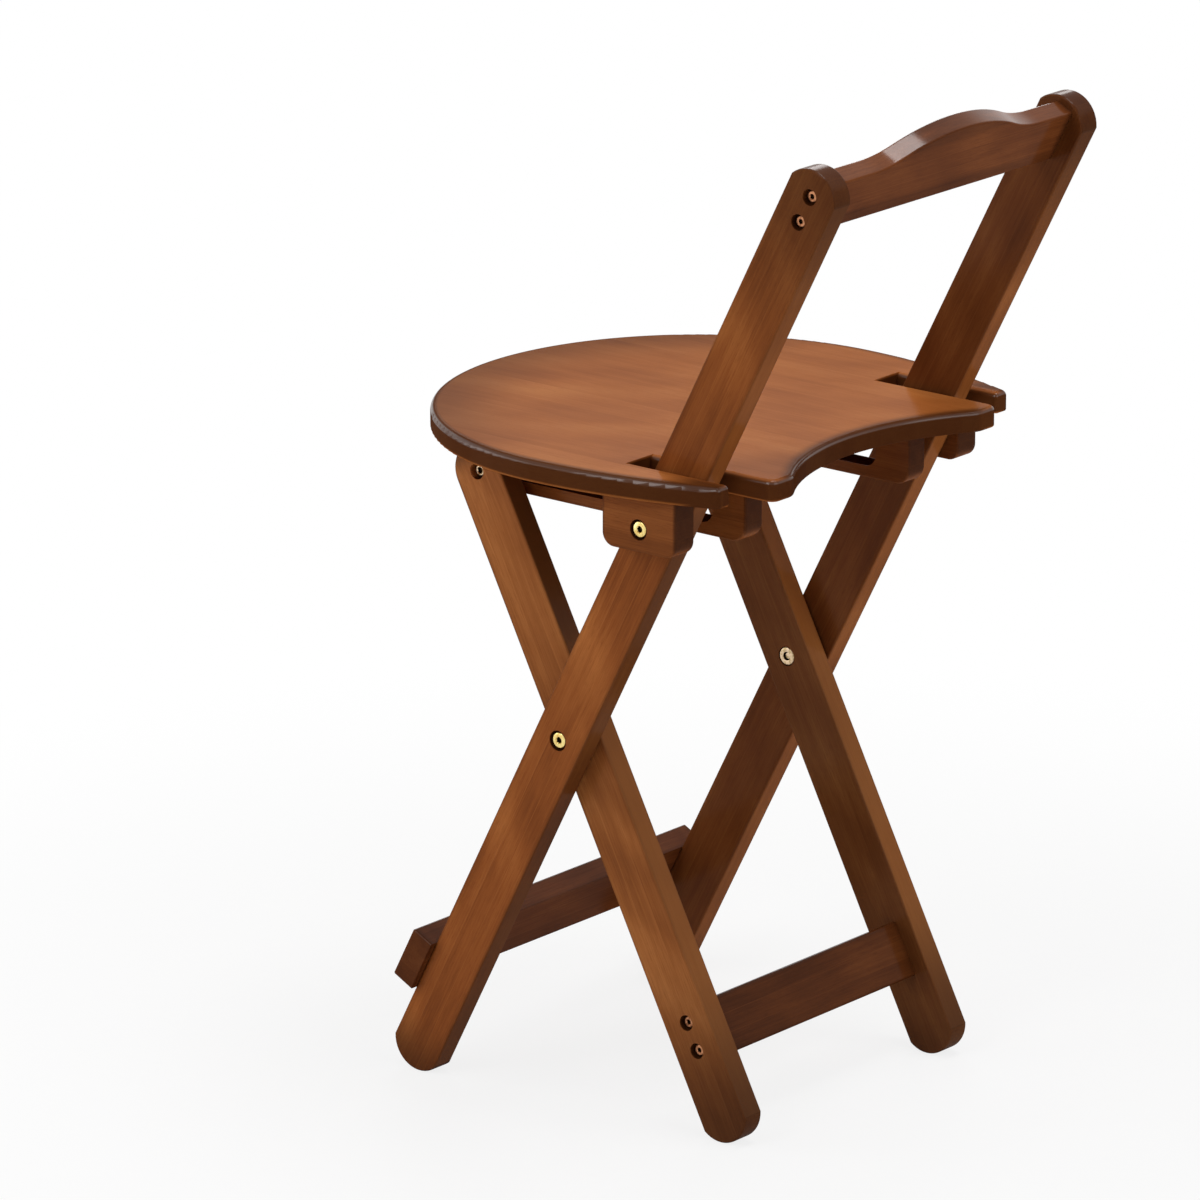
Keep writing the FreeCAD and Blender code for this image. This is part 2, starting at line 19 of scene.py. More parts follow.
import bmesh
import bpy
import numpy as np
from mathutils import Euler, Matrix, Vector

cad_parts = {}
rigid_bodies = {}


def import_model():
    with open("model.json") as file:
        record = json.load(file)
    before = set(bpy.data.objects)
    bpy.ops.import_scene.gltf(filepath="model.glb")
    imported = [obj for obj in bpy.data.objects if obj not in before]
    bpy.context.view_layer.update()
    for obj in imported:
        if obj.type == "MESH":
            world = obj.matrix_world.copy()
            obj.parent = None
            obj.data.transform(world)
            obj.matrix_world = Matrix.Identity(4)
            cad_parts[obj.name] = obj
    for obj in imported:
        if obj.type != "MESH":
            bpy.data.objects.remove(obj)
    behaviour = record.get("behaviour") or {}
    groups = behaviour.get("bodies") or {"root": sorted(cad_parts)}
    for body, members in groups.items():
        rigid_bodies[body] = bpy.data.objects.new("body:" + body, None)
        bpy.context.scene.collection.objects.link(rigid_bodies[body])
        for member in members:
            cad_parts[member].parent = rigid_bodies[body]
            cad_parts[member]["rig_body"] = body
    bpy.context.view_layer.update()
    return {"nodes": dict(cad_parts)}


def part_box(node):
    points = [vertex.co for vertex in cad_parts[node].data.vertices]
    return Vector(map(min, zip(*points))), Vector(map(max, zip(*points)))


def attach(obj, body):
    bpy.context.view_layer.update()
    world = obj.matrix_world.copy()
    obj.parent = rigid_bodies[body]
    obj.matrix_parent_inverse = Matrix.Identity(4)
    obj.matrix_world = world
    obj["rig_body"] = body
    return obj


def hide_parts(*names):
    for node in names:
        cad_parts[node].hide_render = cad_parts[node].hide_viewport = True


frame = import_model()

LOG = logging.getLogger("stool")

Colour = tuple[float, float, float, float]
Point = tuple[float, float, float]
Band = tuple[float, float]
Section = tuple[float, float]
Socket = bpy.types.NodeSocket
Plug = Any
ProfilePoint = tuple[Plug, Plug, Plug]

WHITE: Colour = (1.0, 1.0, 1.0, 1.0)
LEG_TILT = 27.2351
LEG_SECTION: Section = (0.009, 0.020)
END_RADIUS = 0.022
COAT_IOR = 1.5

# Fasteners: the angle where the shading creases, how far a socket may be turned, the rounding
# of a small edge, and how close two corners are one.
CREASE = 32.0
SOCKET_SPIN = 60.0
SMALL_ROUND = 0.0002
MERGED = 1e-6

# Shifts of the wood's noises, in metres, for each step of a board's number and for the random
# tone of a strip, and how far the clouds lean across the board.
WOOD_SHIFT: Point = (0.71, 0.37, 0.53)
CLOUD_SHIFT = 0.61
STRIP_SHIFT: Point = (2.0, 2.0, 2.0)
CLOUD_SKEW = 0.9

# Wood: places of the dark, middle and light tone, where the noise makes flecks and how dark they
# are, how light a glue joint is, how deep it lies beside the fibres, the strength and height of
# the relief, and where the fibres' noise turns from the roughest polish to the smoothest.
TONES = (0.18, 0.5, 0.85)
FLECKS: Band = (0.36, 0.44)
FLECK_DEPTH = 0.35
JOINT_TONE = 0.25
JOINT_GROOVE = 0.3
RELIEF = (0.35, 0.00012)
POLISH: Band = (0.3, 0.7)
ROUGHEST = 0.06
SMOOTHEST = -0.04

# Bands over which a tone fades, measured below a face or away from a line, how dark the painted
# shade in a hole is, and at what share of half a board's thickness the painted shade on a
# board's inner side ends.
GLUE_LINE: Band = (0.00008, 0.00045)
NARROW_FACE: Band = (0.0003, 0.0014)
END_GRAIN: Band = (0.0004, 0.0014)
PAST_SHOULDER: Band = (0.003, 0.006)
HOLE_UNDER_FACE: Band = (0.0002, 0.0009)
HOLE_UNDER_FLANK: Band = (0.002, 0.003)
HOLE_FROM_END: Band = (0.021, 0.023)
SEAT_WALL: Band = (0.0003, 0.0020)
PAINTED_HOLE_SHADE = 0.85
INNER_SKIN = 0.8

# Bands over which the coat changes, by how far up a face looks, and its weight on the walls.
UPPER_EDGE: Band = (0.35, 0.75)
RIM_START: Band = (0.20, 0.45)
RIM_END: Band = (0.75, 0.92)
WALL_COAT = 0.02


def stain(*channels: int) -> Colour:
    """Turns a colour as it is seen on a screen into the light that a shader works with.

    Args:
        channels: Red, green and blue, from 0 to 255.

    Returns:
        Linear red, green and blue, and a full alpha.
    """
    shares = [channel / 255 for channel in channels]
    return (*(share / 12.92 if share <= 0.04045 else ((share + 0.055) / 1.055) ** 2.4
              for share in shares), 1.0)


def linked(name: str, data: Any) -> bpy.types.Object:
    """Makes an object and puts it into the scene.

    Args:
        name: Name of the object.
        data: Its mesh, lamp or camera.

    Returns:
        The object.
    """
    made = bpy.data.objects.new(name, data)
    bpy.context.scene.collection.objects.link(made)
    return made


class Noise(Enum):
    """Noises: waves for each metre along the three axes, octaves, roughness and stirring."""

    FIBRE = ((900.0, 900.0, 14.0), 5.0, 0.62, 0.15)
    FLECK = ((2600.0, 2600.0, 110.0), 2.0, 0.5, 0.0)
    FIGURE = ((75.0, 75.0, 9.0), 3.0, 0.55, 0.5)
    CLOUD = ((9.0, 12.0, 15.0), 1.5, 0.5, 0.0)
    FILM = ((420.0, 420.0, 420.0), 4.0, 0.6, 0.0)
    SCRATCH = ((900.0, 4200.0, 4200.0), 2.0, 0.5, 0.0)
    MOULD = ((1800.0, 1800.0, 1800.0), 3.0, 0.5, 0.0)
    WEAR = ((160.0, 160.0, 160.0), 3.0, 0.6, 0.0)
    PAPER = ((60.0, 60.0, 60.0), 2.0, 0.5, 0.0)


class NodeSketch:
    """Adds and joins the nodes of one shader or geometry tree."""

    def __init__(self, tree: bpy.types.NodeTree) -> None:
        """Keeps the tree that is drawn in."""
        self.tree = tree

    def add(self, kind: str, **settings: Any) -> bpy.types.Node:
        """Adds a node.

        Args:
            kind: Type of the node.
            settings: Properties of the node, by name.

        Returns:
            The new node.
        """
        node = self.tree.nodes.new(kind)
        for name, value in settings.items():
            setattr(node, name, value)
        return node

    def feed(self, socket: Socket, value: Plug) -> None:
        """Joins a socket to another one, or sets it to a plain value.

        Args:
            socket: Input socket.
            value: Output socket, number, vector, colour or material.
        """
        if isinstance(value, bpy.types.NodeSocket):
            self.tree.links.new(value, socket)
        else:
            socket.default_value = value

    def fill(self, node: bpy.types.Node, inputs: dict[str, Plug]) -> bpy.types.Node:
        """Feeds the inputs of a node.

        Args:
            node: The node.
            inputs: Values or sockets, by the name of the input.

        Returns:
            The same node.
        """
        for name, value in inputs.items():
            self.feed(node.inputs[name], value)
        return node

    def node(self, kind: str, inputs: dict[str, Plug], **settings: Any) -> Socket:
        """Adds a node, feeds its inputs and gives back its first output."""
        return self.fill(self.add(kind, **settings), inputs).outputs[0]

    def math(self, operation: str, *values: Plug, kind: str = "ShaderNodeMath") -> Socket:
        """Works out one number from others.

        Args:
            operation: Name of the operation.
            values: Numbers or sockets.
            kind: Type of the node.

        Returns:
            Socket with the result.
        """
        made = self.add(kind, operation=operation)
        for socket, value in zip(made.inputs, values):
            self.feed(socket, value)
        return made.outputs[0]

    def vector_math(self, operation: str, *values: Plug) -> Socket:
        """Works out one vector from others."""
        return self.math(operation, *values, kind="ShaderNodeVectorMath")

    def plus(self, first: Plug, second: Plug) -> Socket:
        """Two numbers added."""
        return self.math("ADD", first, second)

    def less(self, first: Plug, second: Plug) -> Socket:
        """The first number less the second."""
        return self.math("SUBTRACT", first, second)

    def times(self, *values: Plug) -> Socket:
        """Two or more numbers multiplied."""
        return reduce(partial(self.math, "MULTIPLY"), values)

    def most(self, *values: Plug) -> Socket:
        """The greatest of two or more numbers."""
        return reduce(partial(self.math, "MAXIMUM"), values)

    def unsigned(self, value: Plug) -> Socket:
        """A number without its sign."""
        return self.math("ABSOLUTE", value)

    def distance(self, x: Plug, y: Plug) -> Socket:
        """How far a place is from the origin."""
        return self.math("SQRT", self.plus(self.times(x, x), self.times(y, y)))

    def split(self, vector: Socket) -> tuple[Socket, Socket, Socket]:
        """Splits a vector into its three numbers."""
        return tuple(self.fill(self.add("ShaderNodeSeparateXYZ"), {"Vector": vector}).outputs)

    def join(self, x: Plug, y: Plug, z: Plug) -> Socket:
        """Makes a vector of three numbers."""
        return self.node("ShaderNodeCombineXYZ", {"X": x, "Y": y, "Z": z})

    def own(self, kind: str = "Object") -> Socket:
        """Place in the object's own coordinates, or its normal."""
        return self.add("ShaderNodeTexCoord").outputs[kind]

    def fade(self, value: Plug, start: float, end: float, first: float = 0.0,
             last: float = 1.0) -> Socket:
        """Goes smoothly from one number to another while a value crosses a range.

        Args:
            value: The value.
            start: Where the range starts.
            end: Where it ends.
            first: Result before the start.
            last: Result after the end.

        Returns:
            Socket with the result.
        """
        return self.node("ShaderNodeMapRange", {
            "Value": value, "From Min": start, "From Max": end, "To Min": first, "To Max": last},
            interpolation_type="SMOOTHSTEP")

    def blend(self, share: Plug, first: Plug, second: Plug) -> Socket:
        """Mixes two colours.

        Args:
            share: How much of the second, from 0 to 1.
            first: First colour.
            second: Second colour.

        Returns:
            Socket with the mixed colour.
        """
        made = self.add("ShaderNodeMix", data_type="RGBA", clamp_factor=True)
        for place, value in ((0, share), (6, first), (7, second)):
            self.feed(made.inputs[place], value)
        return made.outputs[2]

    def noise(self, place: Socket, noise: Noise) -> Socket:
        """Soft noise that may be stretched along an axis.

        Args:
            place: Place in metres.
            noise: Which noise.

        Returns:
            Socket with a number around 0.5.
        """
        scale, detail, roughness, distortion = noise.value
        return self.node("ShaderNodeTexNoise", {
            "Vector": self.vector_math("MULTIPLY", place, scale), "Scale": 1.0, "Detail": detail,
            "Roughness": roughness, "Distortion": distortion})

    def bump(self, strength: float, distance: float, height: Socket) -> Socket:
        """Normal of a surface that is raised by a height."""
        return self.node("ShaderNodeBump", {
            "Strength": strength, "Distance": distance, "Height": height})

    def ramp(self, value: Socket, stops: Sequence[tuple[float, Colour]]) -> Socket:
        """Turns a number into a colour.

        Args:
            value: Number from 0 to 1.
            stops: Places and colours, in order.

        Returns:
            Socket with the colour.
        """
        made = self.add("ShaderNodeValToRGB")
        elements = made.color_ramp.elements
        while len(elements) < len(stops):
            elements.new(0.5)
        for element, (place, colour) in zip(elements, stops):
            element.position = place
            element.color = colour
        self.feed(made.inputs[0], value)
        return made.outputs[0]


def new_material(name: str) -> tuple[bpy.types.Material, NodeSketch, bpy.types.Node]:
    """Starts a material.

    Args:
        name: Name of the material.

    Returns:
        The material, a sketch of its tree, and its shader node.
    """
    material = bpy.data.materials.new(name)
    material.use_nodes = True
    tree = material.node_tree
    return material, NodeSketch(tree), tree.nodes["Principled BSDF"]


class Sheen(Enum):
    """Gloss of a lacquer: coat on flat faces and on upper edges, coat roughness, specular level."""

    SEAT = (0.08, 1.0, 0.22, 0.0)
    RAIL = (0.08, 0.8, 0.12, 0.0)
    BOARD = (0.08, 0.40, 0.16, 0.0)
    BARE = (0.0, 0.0, 0.5, 0.2)


class Turn(Enum):
    """Turn that brings a board's length onto Z, its width onto Y and its thickness onto X."""

    LONG_LEG = (LEG_TILT, 0.0, 0.0)
    SHORT_LEG = (-LEG_TILT, 0.0, 0.0)
    ACROSS_LONG = (LEG_TILT, -90.0, 90.0)
    ACROSS_SHORT = (-LEG_TILT, -90.0, 90.0)
    FRONT_TO_BACK_FLAT = (90.0, 0.0, 90.0)
    FRONT_TO_BACK_UPRIGHT = (90.0, 0.0, 0.0)


@dataclass(frozen=True)
class BoardLie:
    """Where a board lies, so that its grain, strips and edges can follow it.

    Attributes:
        middle: Middle of the board.
        turn: Turn that stands the board upright.
        half_thickness: Half its thickness.
        half_width: Half its width.
        half_length: Half its length.
    """

    middle: Point
    turn: Turn
    half_thickness: float
    half_width: float
    half_length: float

    def mirrored(self) -> BoardLie:
        """The lie of the same board on the other side of the stool."""
        return replace(self, middle=(-self.middle[0], *self.middle[1:]))

    @classmethod
    def across(cls, node: str, turn: Turn, section: Section) -> BoardLie:
        """Reads from the frame how a board that runs across the stool lies.

        Args:
            node: Name of the node.
            turn: Turn that stands the board upright.
            section: Half its thickness and half its width.

        Returns:
            The lie.
        """
        low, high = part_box(node)
        return cls(tuple((low + high) / 2), turn, *section, (high.x - low.x) / 2)

    @classmethod
    def lengthwise(cls, node: str, turn: Turn) -> BoardLie:
        """Reads from the frame how a board that runs from front to back lies.

        Args:
            node: Name of the node.
            turn: Turn that stands the board upright.

        Returns:
            The lie.
        """
        low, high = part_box(node)
        half = (high - low) / 2
        section = (half.z, half.x) if turn is Turn.FRONT_TO_BACK_FLAT else (half.x, half.z)
        return cls(tuple((low + high) / 2), turn, *section, half.y)


class BoardSketch(NodeSketch):
    """Sketch of the wood of one board, which knows the place on the board.

    Attributes:
        lie: Where the board lies.
        place: Place through, across and along the board, from its middle.
        under_face: How far below its broad faces a place is.
        under_flank: How far below its narrow faces a place is.
    """

    def __init__(self, tree: bpy.types.NodeTree, lie: BoardLie) -> None:
        """Works out the place on the board.

        Args:
            tree: Tree of the material.
            lie: Where the board lies.
        """
        super().__init__(tree)
        self.lie = lie
        angles = Euler([math.radians(angle) for angle in lie.turn.value])
        shift = -(angles.to_matrix() @ Vector(lie.middle))
        self.place = self.node("ShaderNodeMapping", {
            "Vector": self.own(), "Location": shift, "Rotation": angles})
        self.through, self.across, self.along = self.split(self.place)
        self.under_face = self.less(lie.half_thickness, self.unsigned(self.through))
        self.under_flank = self.less(lie.half_width, self.unsigned(self.across))


@dataclass(frozen=True)
class StainedWood:
    """Walnut-stained and lacquered wood, glued up from lengthwise strips.

    Attributes:
        light: Colour of the lightest fibres.
        middle: Colour between them.
        dark: Colour of the darkest fibres.
        burnt: Colour of gathered stain at ends and edges, and of painted shade and shadows.
        flank: Lighter colour of the narrow faces, a painted light.
        strip: Width of a glued strip.
        strip_contrast: How far the strips differ in tone.
        fibre_contrast: How far the fibres differ in tone.
        figure_contrast: How far the slow figure differs in tone.
        cloud_contrast: How far the soft patches of the stain differ in tone.
        edge_reach: How far the stain gathers from a long edge.
        edge_depth: How dark it gets there, from 0 to 1.
        low_reach: How far it gathers from the lower or front end.
        high_reach: How far it gathers from the upper or rear end.
        end_depth: How dark it gets at the ends, from 0 to 1.
        end_radius: Radius of the rounded ends, or 0 where they are square.
        grain_depth: How dark the end grain on the rounded ends is, from 0 to 1.
        inner_depth: How dark the painted shade on the side towards the middle of the stool is, from
            0 to 1.
        flank_share: How far the narrow faces take that painted light.
        flank_shade: How dark the painted shadow of the seat makes the narrow faces towards one end,
            0 to 1.
        shade_start: Where along the board that painted shadow starts.
        shade_full: Where it is full.
        roughness: Roughness of the wood under the lacquer.
        bored: Whether bores or slots go through the board.
        sheen: Gloss of the lacquer.
    """

    light: Colour = stain(184, 112, 58)
    middle: Colour = stain(150, 84, 40)
    dark: Colour = stain(112, 58, 26)
    burnt: Colour = stain(46, 22, 12)
    flank: Colour = stain(152, 94, 48)
    strip: float = 0.0133
    strip_contrast: float = 0.10
    fibre_contrast: float = 0.45
    figure_contrast: float = 0.50
    cloud_contrast: float = 0.75
    edge_reach: float = 0.0035
    edge_depth: float = 0.30
    low_reach: float = 0.05
    high_reach: float = 0.05
    end_depth: float = 0.55
    end_radius: float = 0.0
    grain_depth: float = 0.78
    inner_depth: float = 0.0
    flank_share: float = 0.0
    flank_shade: float = 0.0
    shade_start: float = 0.0
    shade_full: float = 1.0
    roughness: float = 0.38
    bored: bool = True
    sheen: Sheen = Sheen.BOARD

    def strips(self, board: BoardSketch, seed: int) -> tuple[Socket, Socket]:
        """Glued strips: a random tone for each, and thin joints between them.

        Args:
            board: Sketch of the board.
            seed: Number of the board.

        Returns:
            Random colour of the strip, and how near a joint is, from 0 to 1.
        """
        half_thickness, half_width = board.lie.half_thickness, board.lie.half_width
        count = max(1, round(2 * half_width / self.strip))
        joints, cells = [], []
        for value, half, parts in ((board.through, half_thickness, 1),
                                   (board.across, half_width, count)):
            pitch = 2 * half / parts
            cell = board.math("DIVIDE", board.plus(value, half), pitch)
            inner = board.node("ShaderNodeClamp", {"Value": cell, "Min": 0.5, "Max": parts - 0.5})
            gap = board.times(board.math("PINGPONG", inner, 0.5), pitch)
            joints.append(board.fade(gap, *GLUE_LINE, 1.0, 0.0))
            cells.append(board.math("FLOOR", inner))
        tones = board.add("ShaderNodeTexWhiteNoise", noise_dimensions="3D")
        board.fill(tones, {"Vector": board.join(*cells, float(seed))})
        return tones.outputs[1], board.most(*joints)

    def on_flank(self, board: BoardSketch) -> Socket:
        """Whether a place is on a narrow face, from 0 to 1."""
        return board.fade(board.under_flank, *NARROW_FACE, 1.0, 0.0)

    def edges(self, board: BoardSketch) -> Socket:
        """How much stain gathers at edges and ends, with painted shade in holes, inner sides and
        shadows.

        Args:
            board: Sketch of the board.

        Returns:
            Socket with a share from 0 to 1.
        """
        lie, along = board.lie, board.along
        to_edge = board.plus(board.under_face, board.under_flank)
        outwards = board.times(board.through, math.copysign(1.0, lie.middle[0]))
        # Painted shadow of the seat on the narrow faces, towards one end of the board.
        shade = board.fade(along, self.shade_start, self.shade_full, 0.0, self.flank_shade)
        shares = [
            board.fade(to_edge, 0.0, self.edge_reach, self.edge_depth, 0.0),
            board.fade(board.less(lie.half_length, along), 0.0, self.high_reach,
                       self.end_depth, 0.0),
            board.fade(board.plus(lie.half_length, along), 0.0, self.low_reach,
                       self.end_depth, 0.0),
            # Painted shade on the side of the board that faces the middle of the stool.
            board.fade(outwards, -lie.half_thickness, -lie.half_thickness * INNER_SKIN,
                       self.inner_depth, 0.0),
            board.times(self.on_flank(board), shade)]
        if self.end_radius:
            shoulder = lie.half_length - self.end_radius
            beyond = board.most(board.less(board.unsigned(along), shoulder), 0.0)
            to_rim = board.less(self.end_radius, board.distance(beyond, board.across))
            shares.append(board.times(board.fade(to_rim, *END_GRAIN, self.grain_depth, 0.0),
                                      board.fade(beyond, *PAST_SHOULDER)))
        # Painted shade on the walls of bores and slots.
        if self.bored:
            shares.append(board.times(self.holes(board), PAINTED_HOLE_SHADE))
        return board.most(*shares)

    def holes(self, board: BoardSketch) -> Socket:
        """How far a place is on a wall of a bore or slot, inside the board's own box.

        Args:
            board: Sketch of the board.

        Returns:
            Socket with a share from 0 to 1.
        """
        to_end = board.less(board.lie.half_length, board.unsigned(board.along))
        return board.times(board.fade(board.under_face, *HOLE_UNDER_FACE),
                           board.fade(board.under_flank, *HOLE_UNDER_FLANK),
                           board.fade(to_end, *HOLE_FROM_END))

    def glaze(self, board: BoardSketch) -> Socket:
        """Weight of the lacquer, which is thicker on upper edges and missing in holes.

        Args:
            board: Sketch of the board.

        Returns:
            Socket with the weight of the coat.
        """
        flat, edge, _, _ = self.sheen.value
        lacquer = board.fade(board.split(board.own("Normal"))[2], *UPPER_EDGE, flat, edge)
        return board.times(board.less(1.0, self.holes(board)), lacquer) if self.bored else lacquer

    def material(self, name: str, lie: BoardLie, seed: int) -> bpy.types.Material:
        """Makes the wood of one board.

        Args:
            name: Name of the material.
            lie: Where the board lies.
            seed: Number of the board, so that no two are alike.

        Returns:
            The material.
        """
        material, _, shader = new_material(name)
        board = BoardSketch(material.node_tree, lie)
        strip, joint = self.strips(board, seed)
        loose = board.vector_math("MULTIPLY_ADD", strip, STRIP_SHIFT, board.place)
        loose = board.vector_math("ADD", loose, tuple(seed * step for step in WOOD_SHIFT))
        fibre, fleck, figure = (board.noise(loose, noise)
                                for noise in (Noise.FIBRE, Noise.FLECK, Noise.FIGURE))
        skewed = board.join(board.plus(board.through, seed * CLOUD_SHIFT), board.across,
                            board.math("MULTIPLY_ADD", board.across, CLOUD_SKEW, board.along))
        cloud = board.noise(skewed, Noise.CLOUD)

        tone: Plug = 0.5
        for value, contrast in ((board.split(strip)[0], self.strip_contrast),
                                (fibre, self.fibre_contrast), (figure, self.figure_contrast),
                                (cloud, self.cloud_contrast)):
            tone = board.plus(tone, board.times(board.less(value, 0.5), contrast))
        colour = board.ramp(tone, list(zip(TONES, (self.dark, self.middle, self.light))))
        # Painted light: the narrow faces are lightened towards their own colour.
        flank = board.times(self.on_flank(board), self.flank_share)
        for share, over in ((board.fade(fleck, *FLECKS, FLECK_DEPTH, 0.0), self.dark),
                            (board.times(joint, JOINT_TONE), self.light), (flank, self.flank),
                            (self.edges(board), self.burnt)):
            colour = board.blend(share, colour, over)

        _, _, coat_roughness, specular = self.sheen.value
        board.fill(shader, {
            "Base Color": colour,
            "Roughness": board.fade(fibre, *POLISH, self.roughness + ROUGHEST,
                                    self.roughness + SMOOTHEST),
            "Normal": board.bump(*RELIEF, board.less(fibre, board.times(joint, JOINT_GROOVE))),
            "Coat Weight": self.glaze(board), "Coat Roughness": coat_roughness,
            "Coat IOR": COAT_IOR, "Specular IOR Level": specular})
        return material


@dataclass(frozen=True)
class SeatWood(StainedWood):
    """Wood of the seat panel, sprayed darker along its rim, with a painted shadow on its outer
    horns.

    Attributes:
        radius: Radius of the round front.
        centre_y: Where the centre of the round front is.
        side_radius: Radius of the sides.
        hollow_radius: Radius of the hollow back edge.
        hollow_y: Where the centre of the hollow is.
        wall_depth: How dark the walls are, from 0 to 1.
        rim_reach: How far the dark rim reaches in.
        hollow_reach: How far the dark line along the hollow reaches in.
        rim_depth: How dark both are, from 0 to 1.
        front_reach: How far the softer spray around the front reaches in.
        front_depth: How dark that is at the rim, from 0 to 1.
        front_full: Where along the panel, from the centre of the round front, it is full.
        horn_sides: Where across the panel the painted shadow on the outer horns starts and is full.
        horn_start: Where along it that painted shadow starts and is full.
        horn_depth: How dark the painted shadow is, from 0 to 1.
        rubbed_reach: How far up from the lower face the darkening is lessened, for a paler lower
            edge.
        rubbed_share: How much of the darkening stays there.
        unrubbed_hollow: How far from the hollow the lower edge stays dark.
        unrubbed_rear: Where along the panel the lower edge is no longer paler.
    """

    radius: float = 0.186
    centre_y: float = -0.018986
    side_radius: float = 0.387
    hollow_radius: float = 0.1819
    hollow_y: float = 0.2904
    wall_depth: float = 0.80
    rim_reach: float = 0.010
    hollow_reach: float = 0.012
    rim_depth: float = 0.85
    front_reach: float = 0.075
    front_depth: float = 0.46
    front_full: float = -0.13
    horn_sides: Band = (0.148, 0.156)
    horn_start: Band = (0.095, 0.125)
    horn_depth: float = 0.66
    rubbed_reach: Band = (0.0008, 0.0024)
    rubbed_share: float = 0.35
    unrubbed_hollow: Band = (0.004, 0.008)
    unrubbed_rear: Band = (0.105, 0.125)

    def edges(self, board: BoardSketch) -> Socket:
        """How dark the rim is sprayed, from the distance to the seat's outline, and the painted
        shadow of the posts on the outer horns.

        Args:
            board: Sketch of the panel.

        Returns:
            Socket with a share from 0 to 1.
        """
        side = board.unsigned(board.across)
        along = board.plus(board.along, board.lie.middle[1] - self.centre_y)
        front = board.less(self.radius, board.distance(side, along))
        beside = board.plus(side, self.side_radius - self.radius)
        flank = board.less(self.side_radius, board.distance(beside, along))
        ahead = board.math("LESS_THAN", along, 0.0)
        to_rim = board.node("ShaderNodeMix", {"Factor": ahead, "A": flank, "B": front})
        behind = board.plus(along, self.centre_y - self.hollow_y)
        to_hollow = board.less(board.distance(side, behind), self.hollow_radius)
        spray = board.times(board.fade(along, 0.0, self.front_full, 0.0, self.front_depth),
                            board.fade(to_rim, 0.0, self.front_reach, 1.0, 0.0))
        # Painted shadow of the posts on the tips of the outer horns.
        posts_shadow_on_horns = board.times(board.fade(side, *self.horn_sides, 0.0, self.horn_depth),
                           board.fade(along, *self.horn_start))
        dark = board.most(
            board.fade(board.under_face, *SEAT_WALL, 0.0, self.wall_depth),
            board.fade(to_rim, 0.001, self.rim_reach, self.rim_depth, 0.0),
            board.fade(to_hollow, 0.0, self.hollow_reach, self.rim_depth, 0.0), spray, posts_shadow_on_horns)
        # The lower edge is kept paler, except near the hollow and at the rear.
        above_lower_face = board.plus(board.lie.half_thickness, board.through)
        return board.times(dark, board.most(
            board.fade(above_lower_face, *self.rubbed_reach, self.rubbed_share, 1.0),
            board.fade(to_hollow, *self.unrubbed_hollow, 1.0, 0.0),
            board.fade(along, *self.unrubbed_rear)))

    def glaze(self, board: BoardSketch) -> Socket:
        """Weight of the lacquer, which is thick on the rounded rim and thin on the walls.

        Args:
            board: Sketch of the panel.

        Returns:
            Socket with the weight of the coat.
        """
        flat, edge, _, _ = self.sheen.value
        facing = board.split(board.own("Normal"))[2]
        return board.math("MINIMUM", board.fade(facing, *RIM_START, WALL_COAT, edge),
                          board.fade(facing, *RIM_END, edge, flat))


@dataclass(frozen=True)
class Plating:
    """Bright metal with faint turning marks, a duller film in places and painted shade in sockets.

    Attributes:
        bright: Colour of the clean metal.
        dull: Colour where it has dulled.
        grime: Colour deep in a socket.
        roughness: Roughness of the clean metal.
    """

    bright: Colour
    # grime: Colour of the painted shade deep in a socket or bore.
    dull: Colour
    grime: Colour
    roughness: float

    # Where the noise of the film dulls the colour and the polish, how much rougher it is, and
    # the strength and height of the turning marks.
    DULLED = (0.42, 0.68)
    BLINDED = (0.35, 0.7)
    FILM_ROUGHNESS = 0.16
    MARKS = (0.2, 0.00004)

    def material(self, name: str) -> bpy.types.Material:
        """Makes the metal.

        Args:
            name: Name of the material.

        Returns:
            The material.
        """
        material, sketch, shader = new_material(name)
        film, scratch = (sketch.noise(sketch.own(), noise) for noise in (Noise.FILM, Noise.SCRATCH))
        colour = sketch.blend(sketch.fade(film, *self.DULLED), self.bright, self.dull)
        # Painted shade: faces marked as recessed in a socket or bore take the dark colour.
        recess = sketch.add("ShaderNodeAttribute", attribute_name="recess").outputs["Fac"]
        sketch.fill(shader, {
            "Base Color": sketch.blend(recess, colour, self.grime), "Metallic": 1.0,
            "Roughness": sketch.fade(film, *self.BLINDED, self.roughness,
                                     self.roughness + self.FILM_ROUGHNESS),
            "Normal": sketch.bump(*self.MARKS, scratch)})
        return material


@dataclass(frozen=True)
class MouldedNylon:
    """Dark brown moulded nylon with a fine grain.

    Attributes:
        colour: Colour of the nylon.
        worn: Colour where it has rubbed.
        roughness: Roughness of the nylon.
    """

    colour: Colour = stain(58, 42, 32)
    worn: Colour = stain(92, 72, 58)
    roughness: float = 0.42

    # Where the noise of the wear lightens the colour, and the strength and height of the grain.
    RUBBED = (0.45, 0.7)
    GRAIN = (0.3, 0.00008)

    def material(self, name: str) -> bpy.types.Material:
        """Makes the nylon.

        Args:
            name: Name of the material.

        Returns:
            The material.
        """
        material, sketch, shader = new_material(name)
        grain, rubbed = (sketch.noise(sketch.own(), noise) for noise in (Noise.MOULD, Noise.WEAR))
        sketch.fill(shader, {
            "Base Color": sketch.blend(sketch.fade(rubbed, *self.RUBBED), self.colour, self.worn),
            "Normal": sketch.bump(*self.GRAIN, grain), "Roughness": self.roughness})
        return material


